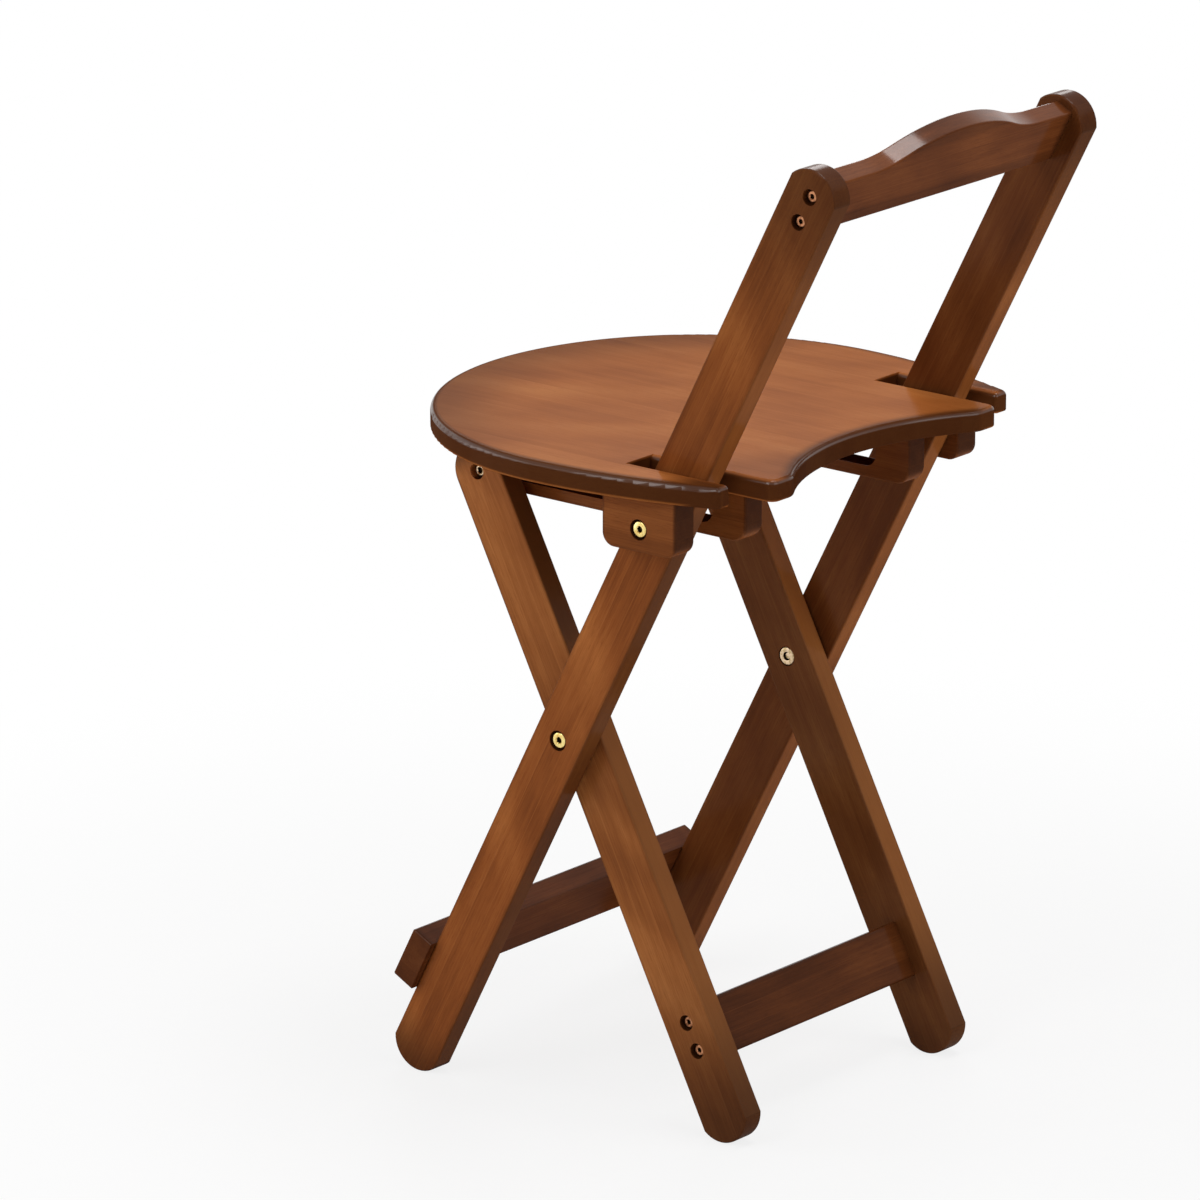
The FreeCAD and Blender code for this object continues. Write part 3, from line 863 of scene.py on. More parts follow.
class Aim(Enum):
    """Which way the face of a fastener looks while the stool stands open."""

    OUTWARDS = "outwards"
    INWARDS = "inwards"
    DOWNWARDS = "downwards"
    FRONT_OF_LONG_FRAME = "front of the long frame"

    def direction(self, side: float) -> Vector:
        """Works out the direction.

        Args:
            side: Which side of the stool the fastener is on, positive on its right.

        Returns:
            Unit vector.
        """
        if self is Aim.DOWNWARDS:
            return Vector((0.0, 0.0, -1.0))
        if self is Aim.FRONT_OF_LONG_FRAME:
            lean = math.radians(LEG_TILT)
            return Vector((0.0, -math.cos(lean), math.sin(lean)))
        outwards = Vector((math.copysign(1.0, side), 0.0, 0.0))
        return outwards if self is Aim.OUTWARDS else -outwards


def solids_of(node: str) -> list[np.ndarray]:
    """Finds the separate solids of a node of the frame.

    Args:
        node: Name of the node.

    Returns:
        The corners of each solid.
    """
    merged = bmesh.new()
    merged.from_mesh(frame["nodes"][node].data)
    bmesh.ops.remove_doubles(merged, verts=merged.verts, dist=MERGED)
    left = set(merged.verts)
    found: list[np.ndarray] = []
    while left:
        edge_of_search = [left.pop()]
        corners = []
        while edge_of_search:
            corner = edge_of_search.pop()
            corners.append(tuple(corner.co))
            for edge in corner.link_edges:
                other = edge.other_vert(corner)
                if other in left:
                    left.remove(other)
                    edge_of_search.append(other)
        found.append(np.array(corners))
    merged.free()
    return sorted(found, key=lambda corners: tuple(corners.mean(axis=0).round(4)))


@dataclass(frozen=True)
class Seating:
    """Where one fastener sits.

    Attributes:
        face: Middle of its face.
        aim: Where the face looks.
        length: Length of the fastener.
    """

    face: Vector
    aim: Vector
    length: float


def seatings(node: str, aim: Aim) -> list[Seating]:
    """Reads from the frame where the fasteners of a node sit.

    Args:
        node: Name of the node.
        aim: Which way their faces look.

    Returns:
        One seating for each solid.
    """
    found = []
    for corners in solids_of(node):
        low, high = Vector(corners.min(axis=0)), Vector(corners.max(axis=0))
        middle = (low + high) / 2
        direction = aim.direction(middle.x)
        heights = corners @ np.array(direction)
        if aim is Aim.FRONT_OF_LONG_FRAME:
            upright = Vector((0.0, direction.z, -direction.y))
            sides = corners @ np.array(upright)
            middle = Vector((middle.x, 0.0, 0.0))
            middle += upright * float(sides.min() + sides.max()) / 2
        middle += direction * (float(heights.max()) - middle.dot(direction))
        found.append(Seating(middle, direction, float(heights.max() - heights.min())))
    return found


class Draft(NodeSketch):
    """Sketch of a fastener's geometry tree, drawn around Z with its face at the origin.

    Attributes:
        size: Input sockets, by name.
    """

    def __init__(self, tree: bpy.types.NodeTree) -> None:
        """Finds the inputs of the tree."""
        super().__init__(tree)
        self.size = {socket.name: socket for socket in self.add("NodeGroupInput").outputs}

    def half(self, label: str) -> Socket:
        """Half of a named size."""
        return self.math("DIVIDE", self.size[label], 2.0)

    def share(self, label: str, share: float) -> Socket:
        """Share of a named size."""
        return self.times(self.size[label], share)

    def down(self, label: str) -> Socket:
        """A named size, measured down from the face."""
        return self.share(label, -1.0)

    def turned(self, profile: Sequence[ProfilePoint], ring: bool = False) -> Socket:
        """Turns a profile about Z.

        Args:
            profile: Radius, height and rounding of each corner, from the top outwards and down.
            ring: Whether the profile closes on itself, as on a washer.

        Returns:
            Socket with the mesh.
        """
        rail = 0.001
        line = self.add("GeometryNodeMeshLine")
        line.inputs["Count"].default_value = len(profile)
        corners = self.listed("VECTOR", [
            self.join(self.less(radius, rail), self.times(height, -1.0), 0.0)
            for radius, height, _ in profile])
        rounds = self.listed("FLOAT", [rounding for _, _, rounding in profile])
        drawn = self.node("GeometryNodeSetPosition", {
            "Geometry": line.outputs[0], "Position": corners})
        curve = self.node("GeometryNodeMeshToCurve", {"Mesh": drawn})
        if ring:
            curve = self.node("GeometryNodeSetSplineCyclic", {"Geometry": curve, "Cyclic": True})
        curve = self.node("GeometryNodeFilletCurve", {
            "Curve": curve, "Count": 4, "Radius": rounds, "Limit Radius": True}, mode="POLY")
        circle = self.node("GeometryNodeCurvePrimitiveCircle", {
            "Radius": rail, "Resolution": self.size["Facets"]})
        mesh = self.node("GeometryNodeCurveToMesh", {"Curve": circle, "Profile Curve": curve})
        return self.node("GeometryNodeMergeByDistance", {"Geometry": mesh, "Distance": MERGED})

    def listed(self, kind: str, values: Sequence[Plug]) -> Socket:
        """Gives the point with each index its own value.

        Args:
            kind: Type of the values.
            values: The values in order.

        Returns:
            Socket with the value.
        """
        switch = self.add("GeometryNodeIndexSwitch", data_type=kind)
        while len(switch.index_switch_items) < len(values):
            switch.index_switch_items.new()
        index = self.add("GeometryNodeInputIndex").outputs[0]
        for place, value in enumerate([index, *values]):
            self.feed(switch.inputs[place], value)
        return switch.outputs[0]

    def prism(self, width: Plug, depth: Plug, sides: int = 6) -> Socket:
        """Upright prism across the origin, as wide across its flats as stated.

        Args:
            width: Width across the flats.
            depth: Height of the prism.
            sides: Number of its sides.

        Returns:
            Socket with the mesh.
        """
        radius = self.math("DIVIDE", width, 2 * math.cos(math.pi / sides))
        return self.node("GeometryNodeMeshCylinder", {
            "Vertices": sides, "Radius": radius, "Depth": depth})

    def cut(self, body: Socket, tools: Sequence[Socket], way: str = "DIFFERENCE") -> Socket:
        """Cuts tools from a body, or keeps what they share.

        Args:
            body: The body.
            tools: The meshes that it is cut with.
            way: DIFFERENCE or INTERSECT.

        Returns:
            Socket with the mesh.
        """
        made = self.add("GeometryNodeMeshBoolean", operation=way, solver="EXACT")
        self.feed(made.inputs["Mesh 1" if way == "DIFFERENCE" else "Mesh 2"], body)
        for tool in tools:
            self.feed(made.inputs["Mesh 2"], tool)
        return made.outputs[0]

    def recessed(self, mesh: Socket, nearest: Plug, farthest: Plug, depth: float) -> Socket:
        """Marks the faces of a recess, which get a painted shade.

        Args:
            mesh: The mesh.
            nearest: How far from the axis the recess starts.
            farthest: How far from the axis it ends.
            depth: How far below the face it starts.

        Returns:
            Socket with the mesh.
        """
        x, y, z = self.split(self.add("GeometryNodeInputPosition").outputs[0])
        off_axis = self.distance(x, y)
        deep = self.times(self.math("GREATER_THAN", off_axis, nearest),
                          self.math("LESS_THAN", off_axis, farthest),
                          self.math("LESS_THAN", z, -depth))
        return self.node("GeometryNodeStoreNamedAttribute", {
            "Geometry": mesh, "Name": "recess", "Value": deep}, data_type="FLOAT", domain="FACE")


@dataclass(frozen=True)
class Metal:
    """A metal of the hardware.

    Attributes:
        material: Its material.
        slot: Slot of the record that it stands for. It is not used.
    """

    material: bpy.types.Material
    slot: str


@dataclass
class Fastener(ABC):
    """One kind of fastener, drawn once and repeated by nodes.

    Attributes:
        facets: Number of facets around it.
    """

    facets: int = 48

    @abstractmethod
    def shape(self, draft: Draft) -> Socket:
        """Draws one fastener.

        Args:
            draft: Sketch of the geometry tree.

        Returns:
            Socket with the mesh.
        """

    def tree(self, name: str, labels: Sequence[str]) -> tuple[bpy.types.NodeTree, dict[str, str]]:
        """Builds the geometry tree.

        Args:
            name: Name of the tree.
            labels: Names of the sizes that are its inputs.

        Returns:
            The tree, and the identifier of each named input.
        """
        tree = bpy.data.node_groups.new(name, "GeometryNodeTree")
        face = tree.interface
        face.new_socket("Seatings", in_out="INPUT", socket_type="NodeSocketGeometry")
        face.new_socket("Fasteners", in_out="OUTPUT", socket_type="NodeSocketGeometry")
        kinds = dict.fromkeys(labels, "NodeSocketFloat")
        kinds.update({"Facets": "NodeSocketInt", "Seed": "NodeSocketInt",
                      "Finish": "NodeSocketMaterial"})
        identifiers = {label: face.new_socket(label, in_out="INPUT", socket_type=kind).identifier
                       for label, kind in kinds.items()}

        draft = Draft(tree)
        one = draft.node("GeometryNodeSetShadeSmooth", {
            "Geometry": self.shape(draft), "Shade Smooth": True})
        bend = draft.node("GeometryNodeInputMeshEdgeAngle", {})
        crease = draft.math("GREATER_THAN", bend, math.radians(CREASE))
        one = draft.node("GeometryNodeSetShadeSmooth", {
            "Geometry": one, "Selection": crease, "Shade Smooth": False}, domain="EDGE")
        aim = draft.node("GeometryNodeInputNamedAttribute", {"Name": "aim"},
                         data_type="FLOAT_VECTOR")
        turn = draft.node("FunctionNodeAlignRotationToVector", {"Vector": aim}, axis="Z")
        spin = draft.add("FunctionNodeRandomValue", data_type="FLOAT")
        spin.inputs[3].default_value = math.radians(SOCKET_SPIN)
        draft.feed(spin.inputs["Seed"], draft.size["Seed"])
        spun = draft.node("FunctionNodeAxisAngleToRotation", {
            "Axis": (0.0, 0.0, 1.0), "Angle": spin.outputs[1]})
        turn = draft.node("FunctionNodeRotateRotation", {"Rotation": turn, "Rotate By": spun},
                          rotation_space="LOCAL")
        placed = draft.node("GeometryNodeInstanceOnPoints", {
            "Points": draft.size["Seatings"], "Instance": one, "Rotation": turn})
        real = draft.node("GeometryNodeRealizeInstances", {"Geometry": placed})
        dressed = draft.node("GeometryNodeSetMaterial", {
            "Geometry": real, "Material": draft.size["Finish"]})
        draft.fill(draft.add("NodeGroupOutput"), {"Fasteners": dressed})
        return tree, identifiers

    def build(self, node: str, body: str, aim: Aim, metal: Metal, seed: int) -> None:
        """Sets a fastener in each seating of a node of the frame, as one plain mesh.

        Args:
            node: Node of the frame that the piece stands for.
            body: Body that it moves with.
            aim: Which way the faces look.
            metal: Metal of the piece.
            seed: Seed of how far each fastener is turned about its axis.
        """
        places = seatings(node, aim)
        points = bpy.data.meshes.new(node + "_seatings")
        points.from_pydata([seating.face for seating in places], [], [])
        aims = points.attributes.new("aim", "FLOAT_VECTOR", "POINT")
        aims.data.foreach_set("vector", [value for seating in places for value in seating.aim])
        carrier = linked(node + "_carrier", points)
        modifier = carrier.modifiers.new("Fasteners", "NODES")
        values: dict[str, Any] = {
            size.name.replace("_", " ").title(): getattr(self, size.name) for size in fields(self)}
        values.update({"Length": places[0].length, "Seed": seed, "Finish": metal.material})
        labels = [label for label, value in values.items() if isinstance(value, float)]
        modifier.node_group, identifiers = self.tree(node + "_tree", labels)
        for label, value in values.items():
            modifier[identifiers[label]] = value
        carrier.update_tag()
        depsgraph = bpy.context.evaluated_depsgraph_get()
        mesh = bpy.data.meshes.new_from_object(carrier.evaluated_get(depsgraph))
        carrier.modifiers.remove(modifier)
        bpy.data.objects.remove(carrier)
        piece = linked(node + "_turned", mesh)
        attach(piece, body)
        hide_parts(node)
        report(piece.name, body, len(mesh.polygons))


@dataclass
class SocketBolt(Fastener):
    """Round-headed bolt or screw with a hexagonal socket.

    Attributes:
        head: Diameter of the head.
        head_height: Height of the head.
        rim: Rounding of the head's rim.
        socket: Width of the socket across its flats.
        socket_depth: Depth of the socket.
        shank: Diameter of the shank.
        point: Length of the point, or of the chamfer on a bolt.
        tip: Diameter at the very end.
    """

    # Radii of the funnel's mouth and of the painted shade as shares of the socket's width, height
    # and radius of the whole funnel as shares of its mouth, and depth at which the painted shade
    # starts.
    MOUTH = 0.66
    FUNNEL = 1.5
    DIRTY = 0.57
    DIRT_DEPTH = 0.00035

    head: float = 0.0116
    head_height: float = 0.003
    rim: float = 0.0013
    socket: float = 0.004
    socket_depth: float = 0.0022
    shank: float = 0.006
    point: float = 0.0006
    tip: float = 0.005

    def shape(self, draft: Draft) -> Socket:
        """Draws one bolt.

        Args:
            draft: Sketch of the geometry tree.

        Returns:
            Socket with the mesh.
        """
        head, shank, tip = map(draft.half, ("Head", "Shank", "Tip"))
        under, end = draft.down("Head Height"), draft.down("Length")
        body = draft.turned([
            (0.0, 0.0, 0.0), (head, 0.0, draft.size["Rim"]), (head, under, SMALL_ROUND),
            (shank, under, 0.0), (shank, draft.plus(end, draft.size["Point"]), 0.0),
            (tip, end, 0.0), (0.0, end, 0.0)])
        socket = draft.prism(draft.size["Socket"], draft.share("Socket Depth", 2.0))
        mouth = draft.share("Socket", self.MOUTH)
        above_face = draft.times(mouth, self.FUNNEL)
        funnel = draft.node("GeometryNodeMeshCone", {
            "Vertices": 32, "Radius Top": above_face, "Radius Bottom": 0.0, "Depth": above_face})
        funnel = draft.node("GeometryNodeTransform", {
            "Geometry": funnel, "Translation": draft.join(0.0, 0.0, draft.times(mouth, -1.0))})
        bolt = draft.cut(body, [socket, funnel])
        # Painted shade deep in the socket.
        return draft.recessed(bolt, -1.0, draft.share("Socket", self.DIRTY), self.DIRT_DEPTH)


@dataclass
class FlangedSleeve(Fastener):
    """Sleeve nut with a thin flange.

    Attributes:
        flange: Diameter of the flange.
        flange_height: Height of the flange.
        rim: Rounding of the flange.
        sleeve: Diameter of the sleeve.
        bore: Diameter of its bore.
        bolt_end: How far below the face a bolt's end fills the bore, or 0 if it is open.
    """

    # Rounding of the bore's mouth, height and flat share of the bolt's crowned end, and where the
    # painted shade lies, as shares of the bore's radius.
    MOUTH_ROUND = 0.0003
    CROWN_HEIGHT = 0.0005
    CROWN = 0.7
    DIRTY = (0.84, 1.02)

    flange: float = 0.013
    flange_height: float = 0.002
    rim: float = 0.0008
    sleeve: float = 0.009
    bore: float = 0.0061
    bolt_end: float = 0.0

    def shape(self, draft: Draft) -> Socket:
        """Draws one sleeve.

        Args:
            draft: Sketch of the geometry tree.

        Returns:
            Socket with the mesh.
        """
        flange, sleeve, bore = map(draft.half, ("Flange", "Sleeve", "Bore"))
        under, end = draft.down("Flange Height"), draft.down("Length")
        outside = [(bore, 0.0, self.MOUTH_ROUND), (flange, 0.0, draft.size["Rim"]),
                   (flange, under, SMALL_ROUND), (sleeve, under, 0.0),
                   (sleeve, end, SMALL_ROUND)]
        if not self.bolt_end:
            return draft.turned([*outside, (bore, end, 0.0)], ring=True)
        crown = draft.down("Bolt End")
        filled = draft.turned([
            (0.0, crown, 0.0), (draft.times(bore, self.CROWN), crown, self.MOUTH_ROUND),
            (bore, draft.less(crown, self.CROWN_HEIGHT), 0.0), *outside, (0.0, end, 0.0)])
        # Painted shade on the wall of the bore.
        nearest, farthest = (draft.times(bore, share) for share in self.DIRTY)
        return draft.recessed(filled, nearest, farthest, self.MOUTH_ROUND)


@dataclass
class RoundWasher(Fastener):
    """Flat washer with slightly rounded edges.

    Attributes:
        outer: Outer diameter.
        bore: Diameter of its bore.
        edge: Rounding of its edges.
    """

    outer: float = 0.016
    bore: float = 0.006
    edge: float = SMALL_ROUND

    def shape(self, draft: Draft) -> Socket:
        """Draws one washer.

        Args:
            draft: Sketch of the geometry tree.

        Returns:
            Socket with the mesh.
        """
        outer, bore = map(draft.half, ("Outer", "Bore"))
        end, edge = draft.down("Length"), draft.size["Edge"]
        return draft.turned([(bore, 0.0, edge), (outer, 0.0, edge), (outer, end, edge),
                             (bore, end, edge)], ring=True)


@dataclass
class HexNut(Fastener):
    """Hexagonal nut with chamfered corners.

    Attributes:
        width: Width across its flats.
        bore: Diameter of its bore.
        chamfer: Height of its chamfer.
    """

    width: float = 0.010
    bore: float = 0.006
    chamfer: float = 0.0009

    def shape(self, draft: Draft) -> Socket:
        """Draws one nut.

        Args:
            draft: Sketch of the geometry tree.

        Returns:
            Socket with the mesh.
        """
        end, upper = draft.down("Length"), draft.down("Chamfer")
        lower = draft.plus(end, draft.size["Chamfer"])
        flat, corner = draft.share("Width", 0.475), draft.share("Width", 0.6)
        turned = draft.turned([(0.0, 0.0, 0.0), (flat, 0.0, 0.0), (corner, upper, 0.0),
                               (corner, lower, 0.0), (flat, end, 0.0), (0.0, end, 0.0)])
        tall = draft.share("Length", 4.0)
        hexagon = draft.cut(draft.prism(draft.size["Width"], tall), [turned], way="INTERSECT")
        return draft.cut(hexagon, [draft.prism(draft.size["Bore"], tall, sides=32)])


WOOD_SCREW = SocketBolt(head=0.0084, head_height=0.0026, rim=0.0011, socket=0.003,
                        socket_depth=0.0018, shank=0.0045, point=0.006, tip=0.001)
SEAT_SCREW = SocketBolt(head=0.008, head_height=0.0026, rim=0.0010, socket=0.004,
                        socket_depth=0.0018, shank=0.0045, point=0.006, tip=0.001, facets=32)


def report(piece: str, body: str, faces: int) -> None:
    """Logs one finished piece with its body and its number of faces."""
    LOG.info("%s on %s, %d faces", piece, body, faces)


def dress(node: str, finish: bpy.types.Material) -> None:
    """Gives a node of the frame its material.

    Args:
        node: Name of the node.
        finish: The material.
    """
    piece = frame["nodes"][node]
    for place in piece.material_slots:
        place.material = finish
    report(node, piece["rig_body"], len(piece.data.polygons))


@dataclass
class Hardware:
    """Metals and nylon that the sub-assemblies share.

    Attributes:
        brass: Bright brass of the bolts.
        pale: Paler brass of the sliding bolts and the crossing sleeves.
        aged: Brown brass of the wood screws, partly aged and partly a painted reflection of wood.
        steel: Zinc-plated steel of the nuts and washers.
        nylon: Nylon of the rollers.
    """

    brass: Metal
    pale: Metal
    aged: Metal
    steel: Metal
    nylon: bpy.types.Material

    @classmethod
    def mixed(cls) -> Hardware:
        """Mixes the finishes.

        Returns:
            The hardware.
        """
        # Dark colour of the painted shade deep in sockets and bores.
        grime = stain(46, 30, 14)
        brass = Plating(stain(242, 220, 146), stain(212, 176, 100), grime, 0.2)
        pale = Plating(stain(216, 190, 158), stain(168, 146, 100), grime, 0.26)
        # Its brown is partly aged metal and partly a painted reflection of the wood around the
        # screws.
        aged = Plating(stain(184, 128, 92), stain(116, 72, 48), grime, 0.3)
        zinc = Plating(stain(190, 190, 188), stain(140, 138, 134), stain(40, 38, 36), 0.28)
        return cls(Metal(brass.material("brass_plating"), "brass"),
                   Metal(pale.material("pale_brass_plating"), "brass"),
                   Metal(aged.material("aged_brass_plating"), "brass"),
                   Metal(zinc.material("zinc_plating"), "steel"),
                   MouldedNylon().material("moulded_nylon"))


@dataclass
class SubAssembly(ABC):
    """Pieces that move together.

    Attributes:
        hardware: Shared metals and nylon.
    """

    hardware: Hardware

    @abstractmethod
    def dress(self) -> None:
        """Gives the boards their wood."""

    @abstractmethod
    def build(self) -> None:
        """Sets the fasteners."""

    def dress_boards(self, first_seed: int,
                     rows: Sequence[tuple[str, StainedWood, BoardLie]]) -> None:
        """Gives several boards their wood.

        Args:
            first_seed: Number of the first board, from which the others count on.
            rows: For each board its node, its wood and how it lies.
        """
        for seed, (node, wood, lie) in enumerate(rows, start=first_seed):
            dress(node, wood.material(node + "_wood", lie, seed))

    def fasten(self, body: str, first_seed: int,
               rows: Sequence[tuple[Fastener, str, Aim, Metal]]) -> None:
        """Sets several kinds of fasteners.

        Args:
            body: Body that they move with.
            first_seed: Seed of the first row, from which the others count on.
            rows: For each kind the fastener, its node, which way its face looks, and its metal.
        """
        for seed, (fastener, node, aim, metal) in enumerate(rows, start=first_seed):
            fastener.build(node, body, aim, metal, seed)


@dataclass
class LongFrame(SubAssembly):
    """Back posts that run down to the front feet, with the top rail and the front stretcher.

    Attributes:
        wood: Wood of the legs.
        stretcher_wood: Wood of the stretcher.
        middle: Middle of the right post.
        half_length: Half the length of a post.
        rail_section: Half the thickness and half the width of the top rail.
        stretcher_section: The same of the stretcher.
    """

    wood: StainedWood = StainedWood(
        high_reach=0.17, end_depth=0.68, end_radius=END_RADIUS, inner_depth=0.60, flank_share=0.35)
    stretcher_wood: StainedWood = StainedWood(
        light=stain(146, 84, 44), middle=stain(118, 64, 32), dark=stain(88, 45, 21),
        end_depth=0.5, low_reach=0.008, high_reach=0.008)
    middle: Point = (0.136, 0.014578, 0.349196)
    half_length: float = 0.3899915
    rail_section: Section = (0.0075, 0.0205)
    stretcher_section: Section = (0.009, 0.0205)

    def dress(self) -> None:
        """Gives the boards their wood, with a thick lacquer along the top rail."""
        leg = BoardLie(self.middle, Turn.LONG_LEG, *LEG_SECTION, self.half_length)
        # The right post's narrow faces get a painted shadow of the seat below it.
        shaded = replace(self.wood, flank_shade=0.55, shade_start=0.16, shade_full=0.10)
        rail_wood = replace(self.stretcher_wood, bored=False, sheen=Sheen.RAIL)
        rail = BoardLie.across("top_rail", Turn.ACROSS_LONG, self.rail_section)
        stretcher = BoardLie.across("front_stretcher", Turn.ACROSS_LONG, self.stretcher_section)
        self.dress_boards(1, (
            ("long_leg_right", shaded, leg), ("long_leg_left", self.wood, leg.mirrored()),
            ("top_rail", rail_wood, rail), ("front_stretcher", self.stretcher_wood, stretcher)))

    def build(self) -> None:
        """Sets the bolts, screws, sleeves and washers."""
        brass, aged, steel = self.hardware.brass, self.hardware.aged, self.hardware.steel
        self.fasten("long_frame", 11, (
            (SocketBolt(), "pivot_bolts", Aim.OUTWARDS, brass),
            (SocketBolt(), "crossing_bolts", Aim.OUTWARDS, brass),
            (WOOD_SCREW, "top_rail_screws", Aim.OUTWARDS, aged),
            (WOOD_SCREW, "front_stretcher_screws", Aim.FRONT_OF_LONG_FRAME, aged),
            (FlangedSleeve(), "pivot_sleeves", Aim.INWARDS, brass),
            (RoundWasher(), "pivot_washers", Aim.OUTWARDS, steel),
            (RoundWasher(), "crossing_washers", Aim.OUTWARDS, steel)))


@dataclass
class ShortFrame(SubAssembly):
    """Short legs that run down to the rear feet, with the rear stretcher.

    Attributes:
        wood: Wood of the legs.
        stretcher_wood: Wood of the stretcher.
        leg_x: Middle of a leg across the stool.
        stretcher_section: Half the thickness and half the width of the stretcher.
    """

    wood: StainedWood = StainedWood(
        light=stain(190, 122, 68), middle=stain(156, 93, 48), dark=stain(120, 66, 32),
        low_reach=0.15, high_reach=0.02, end_depth=0.75, end_radius=END_RADIUS,
        inner_depth=0.62, flank_share=0.7)
    stretcher_wood: StainedWood = StainedWood(
        light=stain(124, 70, 34), middle=stain(98, 52, 24), dark=stain(72, 36, 16),
        end_depth=0.2, low_reach=0.02, high_reach=0.02)
    leg_x: float = 0.116
    stretcher_section: Section = (0.0075, 0.020)

    def dress(self) -> None:
        """Gives the boards their wood."""
        low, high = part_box("short_leg_right")
        middle = (low + high) / 2
        upright = (high.z - low.z) / 2 - END_RADIUS
        half_length = upright / math.cos(math.radians(LEG_TILT)) + END_RADIUS
        leg = BoardLie((self.leg_x, middle.y, middle.z), Turn.SHORT_LEG, *LEG_SECTION, half_length)
        # The right leg's narrow faces get a painted shadow of the seat on their upper part.
        shaded = replace(self.wood, flank_shade=0.7, shade_start=0.06, shade_full=0.12)
        stretcher = BoardLie.across("rear_stretcher", Turn.ACROSS_SHORT, self.stretcher_section)
        self.dress_boards(5, (
            ("short_leg_right", shaded, leg), ("short_leg_left", self.wood, leg.mirrored()),
            ("rear_stretcher", self.stretcher_wood, stretcher)))

    def build(self) -> None:
        """Sets the screws and sleeves."""
        self.fasten("short_frame", 21, (
            (WOOD_SCREW, "rear_stretcher_screws", Aim.OUTWARDS, self.hardware.aged),
            (FlangedSleeve(bolt_end=0.0016), "crossing_sleeves", Aim.INWARDS, self.hardware.pale)))


@dataclass
class SlidingPivots(SubAssembly):
    """Bolts and rollers that carry the short frame along the slots."""

    def dress(self) -> None:
        """Gives the rollers their nylon."""
        dress("slide_rollers", self.hardware.nylon)

    def build(self) -> None:
        """Sets the bolts, washers and nuts."""
        self.fasten("sliding_pivots", 31, (
            (SocketBolt(head=0.0086), "slide_bolts", Aim.OUTWARDS, self.hardware.pale),
            (RoundWasher(), "slide_washers", Aim.INWARDS, self.hardware.steel),
            (HexNut(), "slide_nuts", Aim.INWARDS, self.hardware.steel)))


@dataclass
class Seat(SubAssembly):
    """Seat panel with the slotted rails and the blocks under it.

    Attributes:
        panel_wood: Wood of the panel.
        wood: Wood of the rails and blocks.
        dowel_wood: Bare wood of the dowels.
    """

    panel_wood: SeatWood = SeatWood(
        light=stain(190, 118, 62), middle=stain(172, 100, 48), dark=stain(146, 80, 37),
        burnt=stain(48, 22, 12), strip=0.031, strip_contrast=0.16, fibre_contrast=0.35,
        figure_contrast=0.45, roughness=0.36, sheen=Sheen.SEAT)
    wood: StainedWood = StainedWood(
        light=stain(160, 96, 50), middle=stain(132, 74, 36), dark=stain(98, 52, 24),
        cloud_contrast=0.4, end_depth=0.75, low_reach=0.003, high_reach=0.003, inner_depth=0.4)
    dowel_wood: StainedWood = StainedWood(
        light=stain(214, 184, 140), middle=stain(200, 166, 120), dark=stain(176, 140, 96),
        burnt=stain(140, 104, 66), strip=0.008, end_depth=0.2, sheen=Sheen.BARE)

    def dress(self) -> None:
        """Gives the boards and dowels their wood."""
        upright = Turn.FRONT_TO_BACK_UPRIGHT
        panel = BoardLie.lengthwise("seat_panel", Turn.FRONT_TO_BACK_FLAT)
        self.dress_boards(8, [("seat_panel", self.panel_wood, panel)])
        self.dress_boards(41, [(node, self.wood, BoardLie.lengthwise(node, upright)) for node in (
            "inner_rail_right", "inner_rail_left", "outer_block_right", "outer_block_left")])
        dowels = BoardLie.lengthwise("rail_dowels", upright)
        dress("rail_dowels", self.dowel_wood.material("dowel_wood", dowels, 45))

    def build(self) -> None:
        """Sets the screws under the rails and blocks."""
        self.fasten("seat", 51, (
            (SEAT_SCREW, "rail_screws", Aim.DOWNWARDS, self.hardware.steel),
            (SEAT_SCREW, "block_screws", Aim.DOWNWARDS, self.hardware.steel)))


@dataclass(frozen=True)
class Softbox:
    """A soft lamp.

    Attributes:
        name: Name of the lamp.
        place: Where it hangs.
        aim: What it points at.
        size: Width and height of its face.
        power: Power in watts.
    """

    name: str
    place: Point
    aim: Point
    size: tuple[float, float]
    power: float

    def hang(self) -> None:
        """Hangs the lamp in the studio."""
        lamp = bpy.data.lights.new(self.name, "AREA")
        lamp.shape = "RECTANGLE"
        lamp.size, lamp.size_y = self.size
        lamp.energy = self.power
        turn_to(linked(self.name, lamp), self.place, self.aim)


def turn_to(held: bpy.types.Object, place: Point, aim: Point) -> None:
    """Puts a lamp or camera in its place and turns it.

    Args:
        held: The lamp or camera.
        place: Where it goes.
        aim: What it looks at.
    """
    held.location = place
    held.rotation_euler = (Vector(aim) - Vector(place)).to_track_quat("-Z", "Y").to_euler()


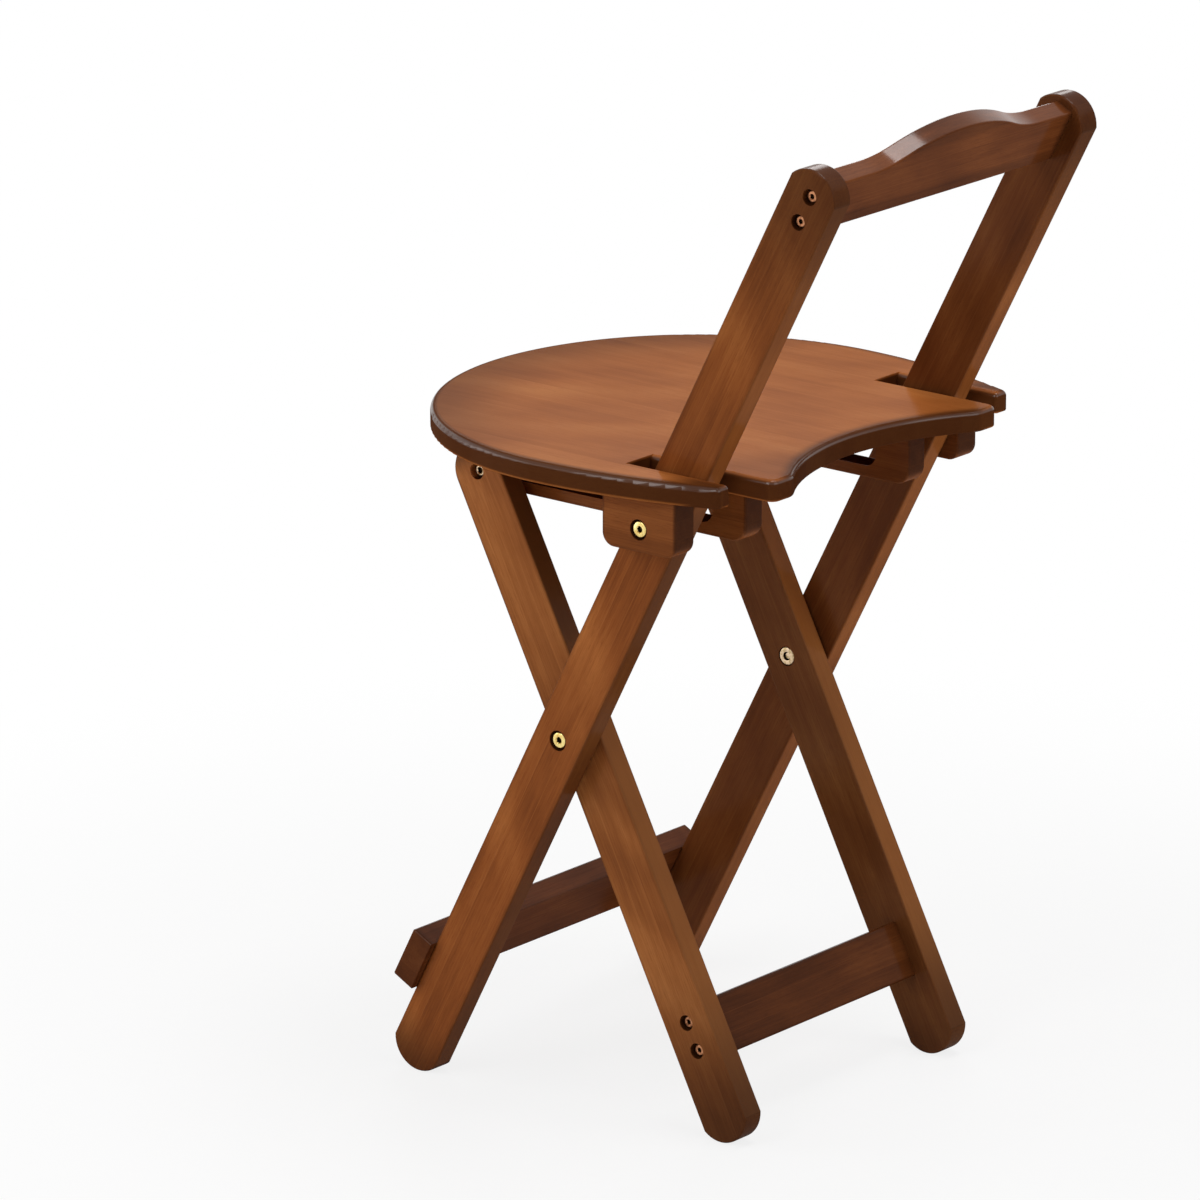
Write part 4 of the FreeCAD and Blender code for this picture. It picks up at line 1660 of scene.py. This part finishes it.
@dataclass
class Studio:
    """Pale floor, soft lamps and the camera of the photograph.

    Attributes:
        camera_place: Where the camera stands.
        camera_aim: What it looks at.
        focal_pixels: Focal length in pixels of the photograph.
        frame_pixels: Width of the photograph in pixels.
        sensor: Width of the sensor in millimetres.
        floor_half: Half the side of the floor.
        ambient: Strength of the light from all around.
        backdrop_top: Sine of the angle up to which the white backdrop reaches.
        ceiling: Sine of the angle where the darker ceiling starts.
        ceiling_strength: How strongly that shows in gloss.
        glow_reach: Where around the stool the floor starts to glow and glows in full.
        least_glow: Share of the glow beside the stool, which leaves room for its shadow.
        sight: How far the camera sees.
        lamps: The soft lamps.
    """

    camera_place: Point = (4.3591, 3.4475, 2.0051)
    camera_aim: Point = (0.01251, -0.09897, 0.32207)
    focal_pixels: float = 8445.22
    frame_pixels: float = 1200.0
    sensor: float = 36.0
    floor_half: float = 14.0
    ambient: float = 0.20
    backdrop_top: float = 0.34
    ceiling: float = 0.60
    ceiling_strength: float = 0.5
    glow_reach: Band = (0.3, 1.0)
    least_glow: float = 0.82
    sight: float = 60.0
    lamps: tuple[Softbox, ...] = (
        Softbox("overhead", (-0.30, 0.40, 2.6), (-0.30, 0.40, 0.0), (1.1, 0.9), 19.5),
        Softbox("high_left", (1.91, -0.27, 1.73), (0.15, 0.10, 0.47), (0.9, 1.2), 12.0),
        Softbox("across", (-1.63, -1.32, 1.5), (0.0, 0.0, 0.47), (1.0, 0.7), 10.0),
        Softbox("behind", (0.0, 2.2, 1.5), (0.0, 0.0, 0.3), (1.8, 1.4), 13.0),
        Softbox("left_of_camera", (0.75, -0.95, 0.5), (0.05, 0.0, 0.33), (0.7, 0.8), 3.2))

    def shown(self, sketch: NodeSketch) -> Socket:
        """Whether a ray comes from the camera, a gloss or a glass.

        Args:
            sketch: Sketch of the tree.

        Returns:
            Socket with 0 or 1.
        """
        path = sketch.add("ShaderNodeLightPath").outputs
        return sketch.most(*(path[name] for name in (
            "Is Camera Ray", "Is Glossy Ray", "Is Transmission Ray")))

    def build_floor(self) -> None:
        """Lays a pale floor that goes over into a white background."""
        half = self.floor_half
        mesh = bpy.data.meshes.new("floor")
        mesh.from_pydata([(-half, -half, 0), (half, -half, 0), (half, half, 0), (-half, half, 0)],
                         [], [(0, 1, 2, 3)])
        material, sketch, shader = new_material("floor_paper")
        own = sketch.own()
        tooth = sketch.noise(own, Noise.PAPER)
        sketch.fill(shader, {
            "Base Color": sketch.blend(tooth, stain(246, 246, 246), stain(250, 250, 250)),
            "Roughness": 0.9, "Specular IOR Level": 0.0})
        glow = sketch.node("ShaderNodeEmission", {"Color": WHITE, "Strength": 1.0})
        away = sketch.add("ShaderNodeVectorMath", operation="LENGTH")
        sketch.feed(away.inputs[0], own)
        glowing = sketch.fade(away.outputs["Value"], *self.glow_reach, self.least_glow, 1.0)
        share = sketch.times(glowing, self.shown(sketch))
        mixed = sketch.node("ShaderNodeMixShader", {0: share, 1: shader.outputs[0], 2: glow})
        sketch.feed(material.node_tree.nodes["Material Output"].inputs[0], mixed)
        mesh.materials.append(material)
        linked("floor", mesh)

    def build_world(self) -> None:
        """Lights the stool from all around, and shows white behind it."""
        world = bpy.data.worlds.new("studio")
        world.use_nodes = True
        bpy.context.scene.world = world
        sketch = NodeSketch(world.node_tree)
        height = sketch.split(sketch.own("Generated"))[2]
        backdrop = sketch.fade(height, self.backdrop_top, self.ceiling, 1.0, self.ceiling_strength)
        strength = sketch.node("ShaderNodeMix", {
            "Factor": self.shown(sketch), "A": self.ambient, "B": backdrop})
        sketch.fill(world.node_tree.nodes["Background"], {"Color": WHITE, "Strength": strength})

    def build_camera(self) -> None:
        """Sets the camera up as it stood for the photograph."""
        camera = bpy.data.cameras.new("photo_camera")
        camera.sensor_width = self.sensor
        camera.lens = self.focal_pixels * self.sensor / self.frame_pixels
        camera.clip_end = self.sight
        bpy.context.scene.camera = linked("photo_camera", camera)
        turn_to(bpy.context.scene.camera, self.camera_place, self.camera_aim)

    def build(self) -> None:
        """Builds the floor, the lamps, the world and the camera."""
        self.build_floor()
        self.build_world()
        for lamp in self.lamps:
            lamp.hang()
        self.build_camera()
        bpy.context.scene.view_settings.view_transform = "Standard"


def main() -> None:
    """Dresses the stool and sets up the studio."""
    logging.basicConfig(level=logging.INFO, format="%(name)s: %(message)s")
    hardware = Hardware.mixed()
    for assembly in (LongFrame, ShortFrame, SlidingPivots, Seat):
        part = assembly(hardware)
        part.dress()
        part.build()
    Studio().build()


if __name__ == "__main__":
    main()
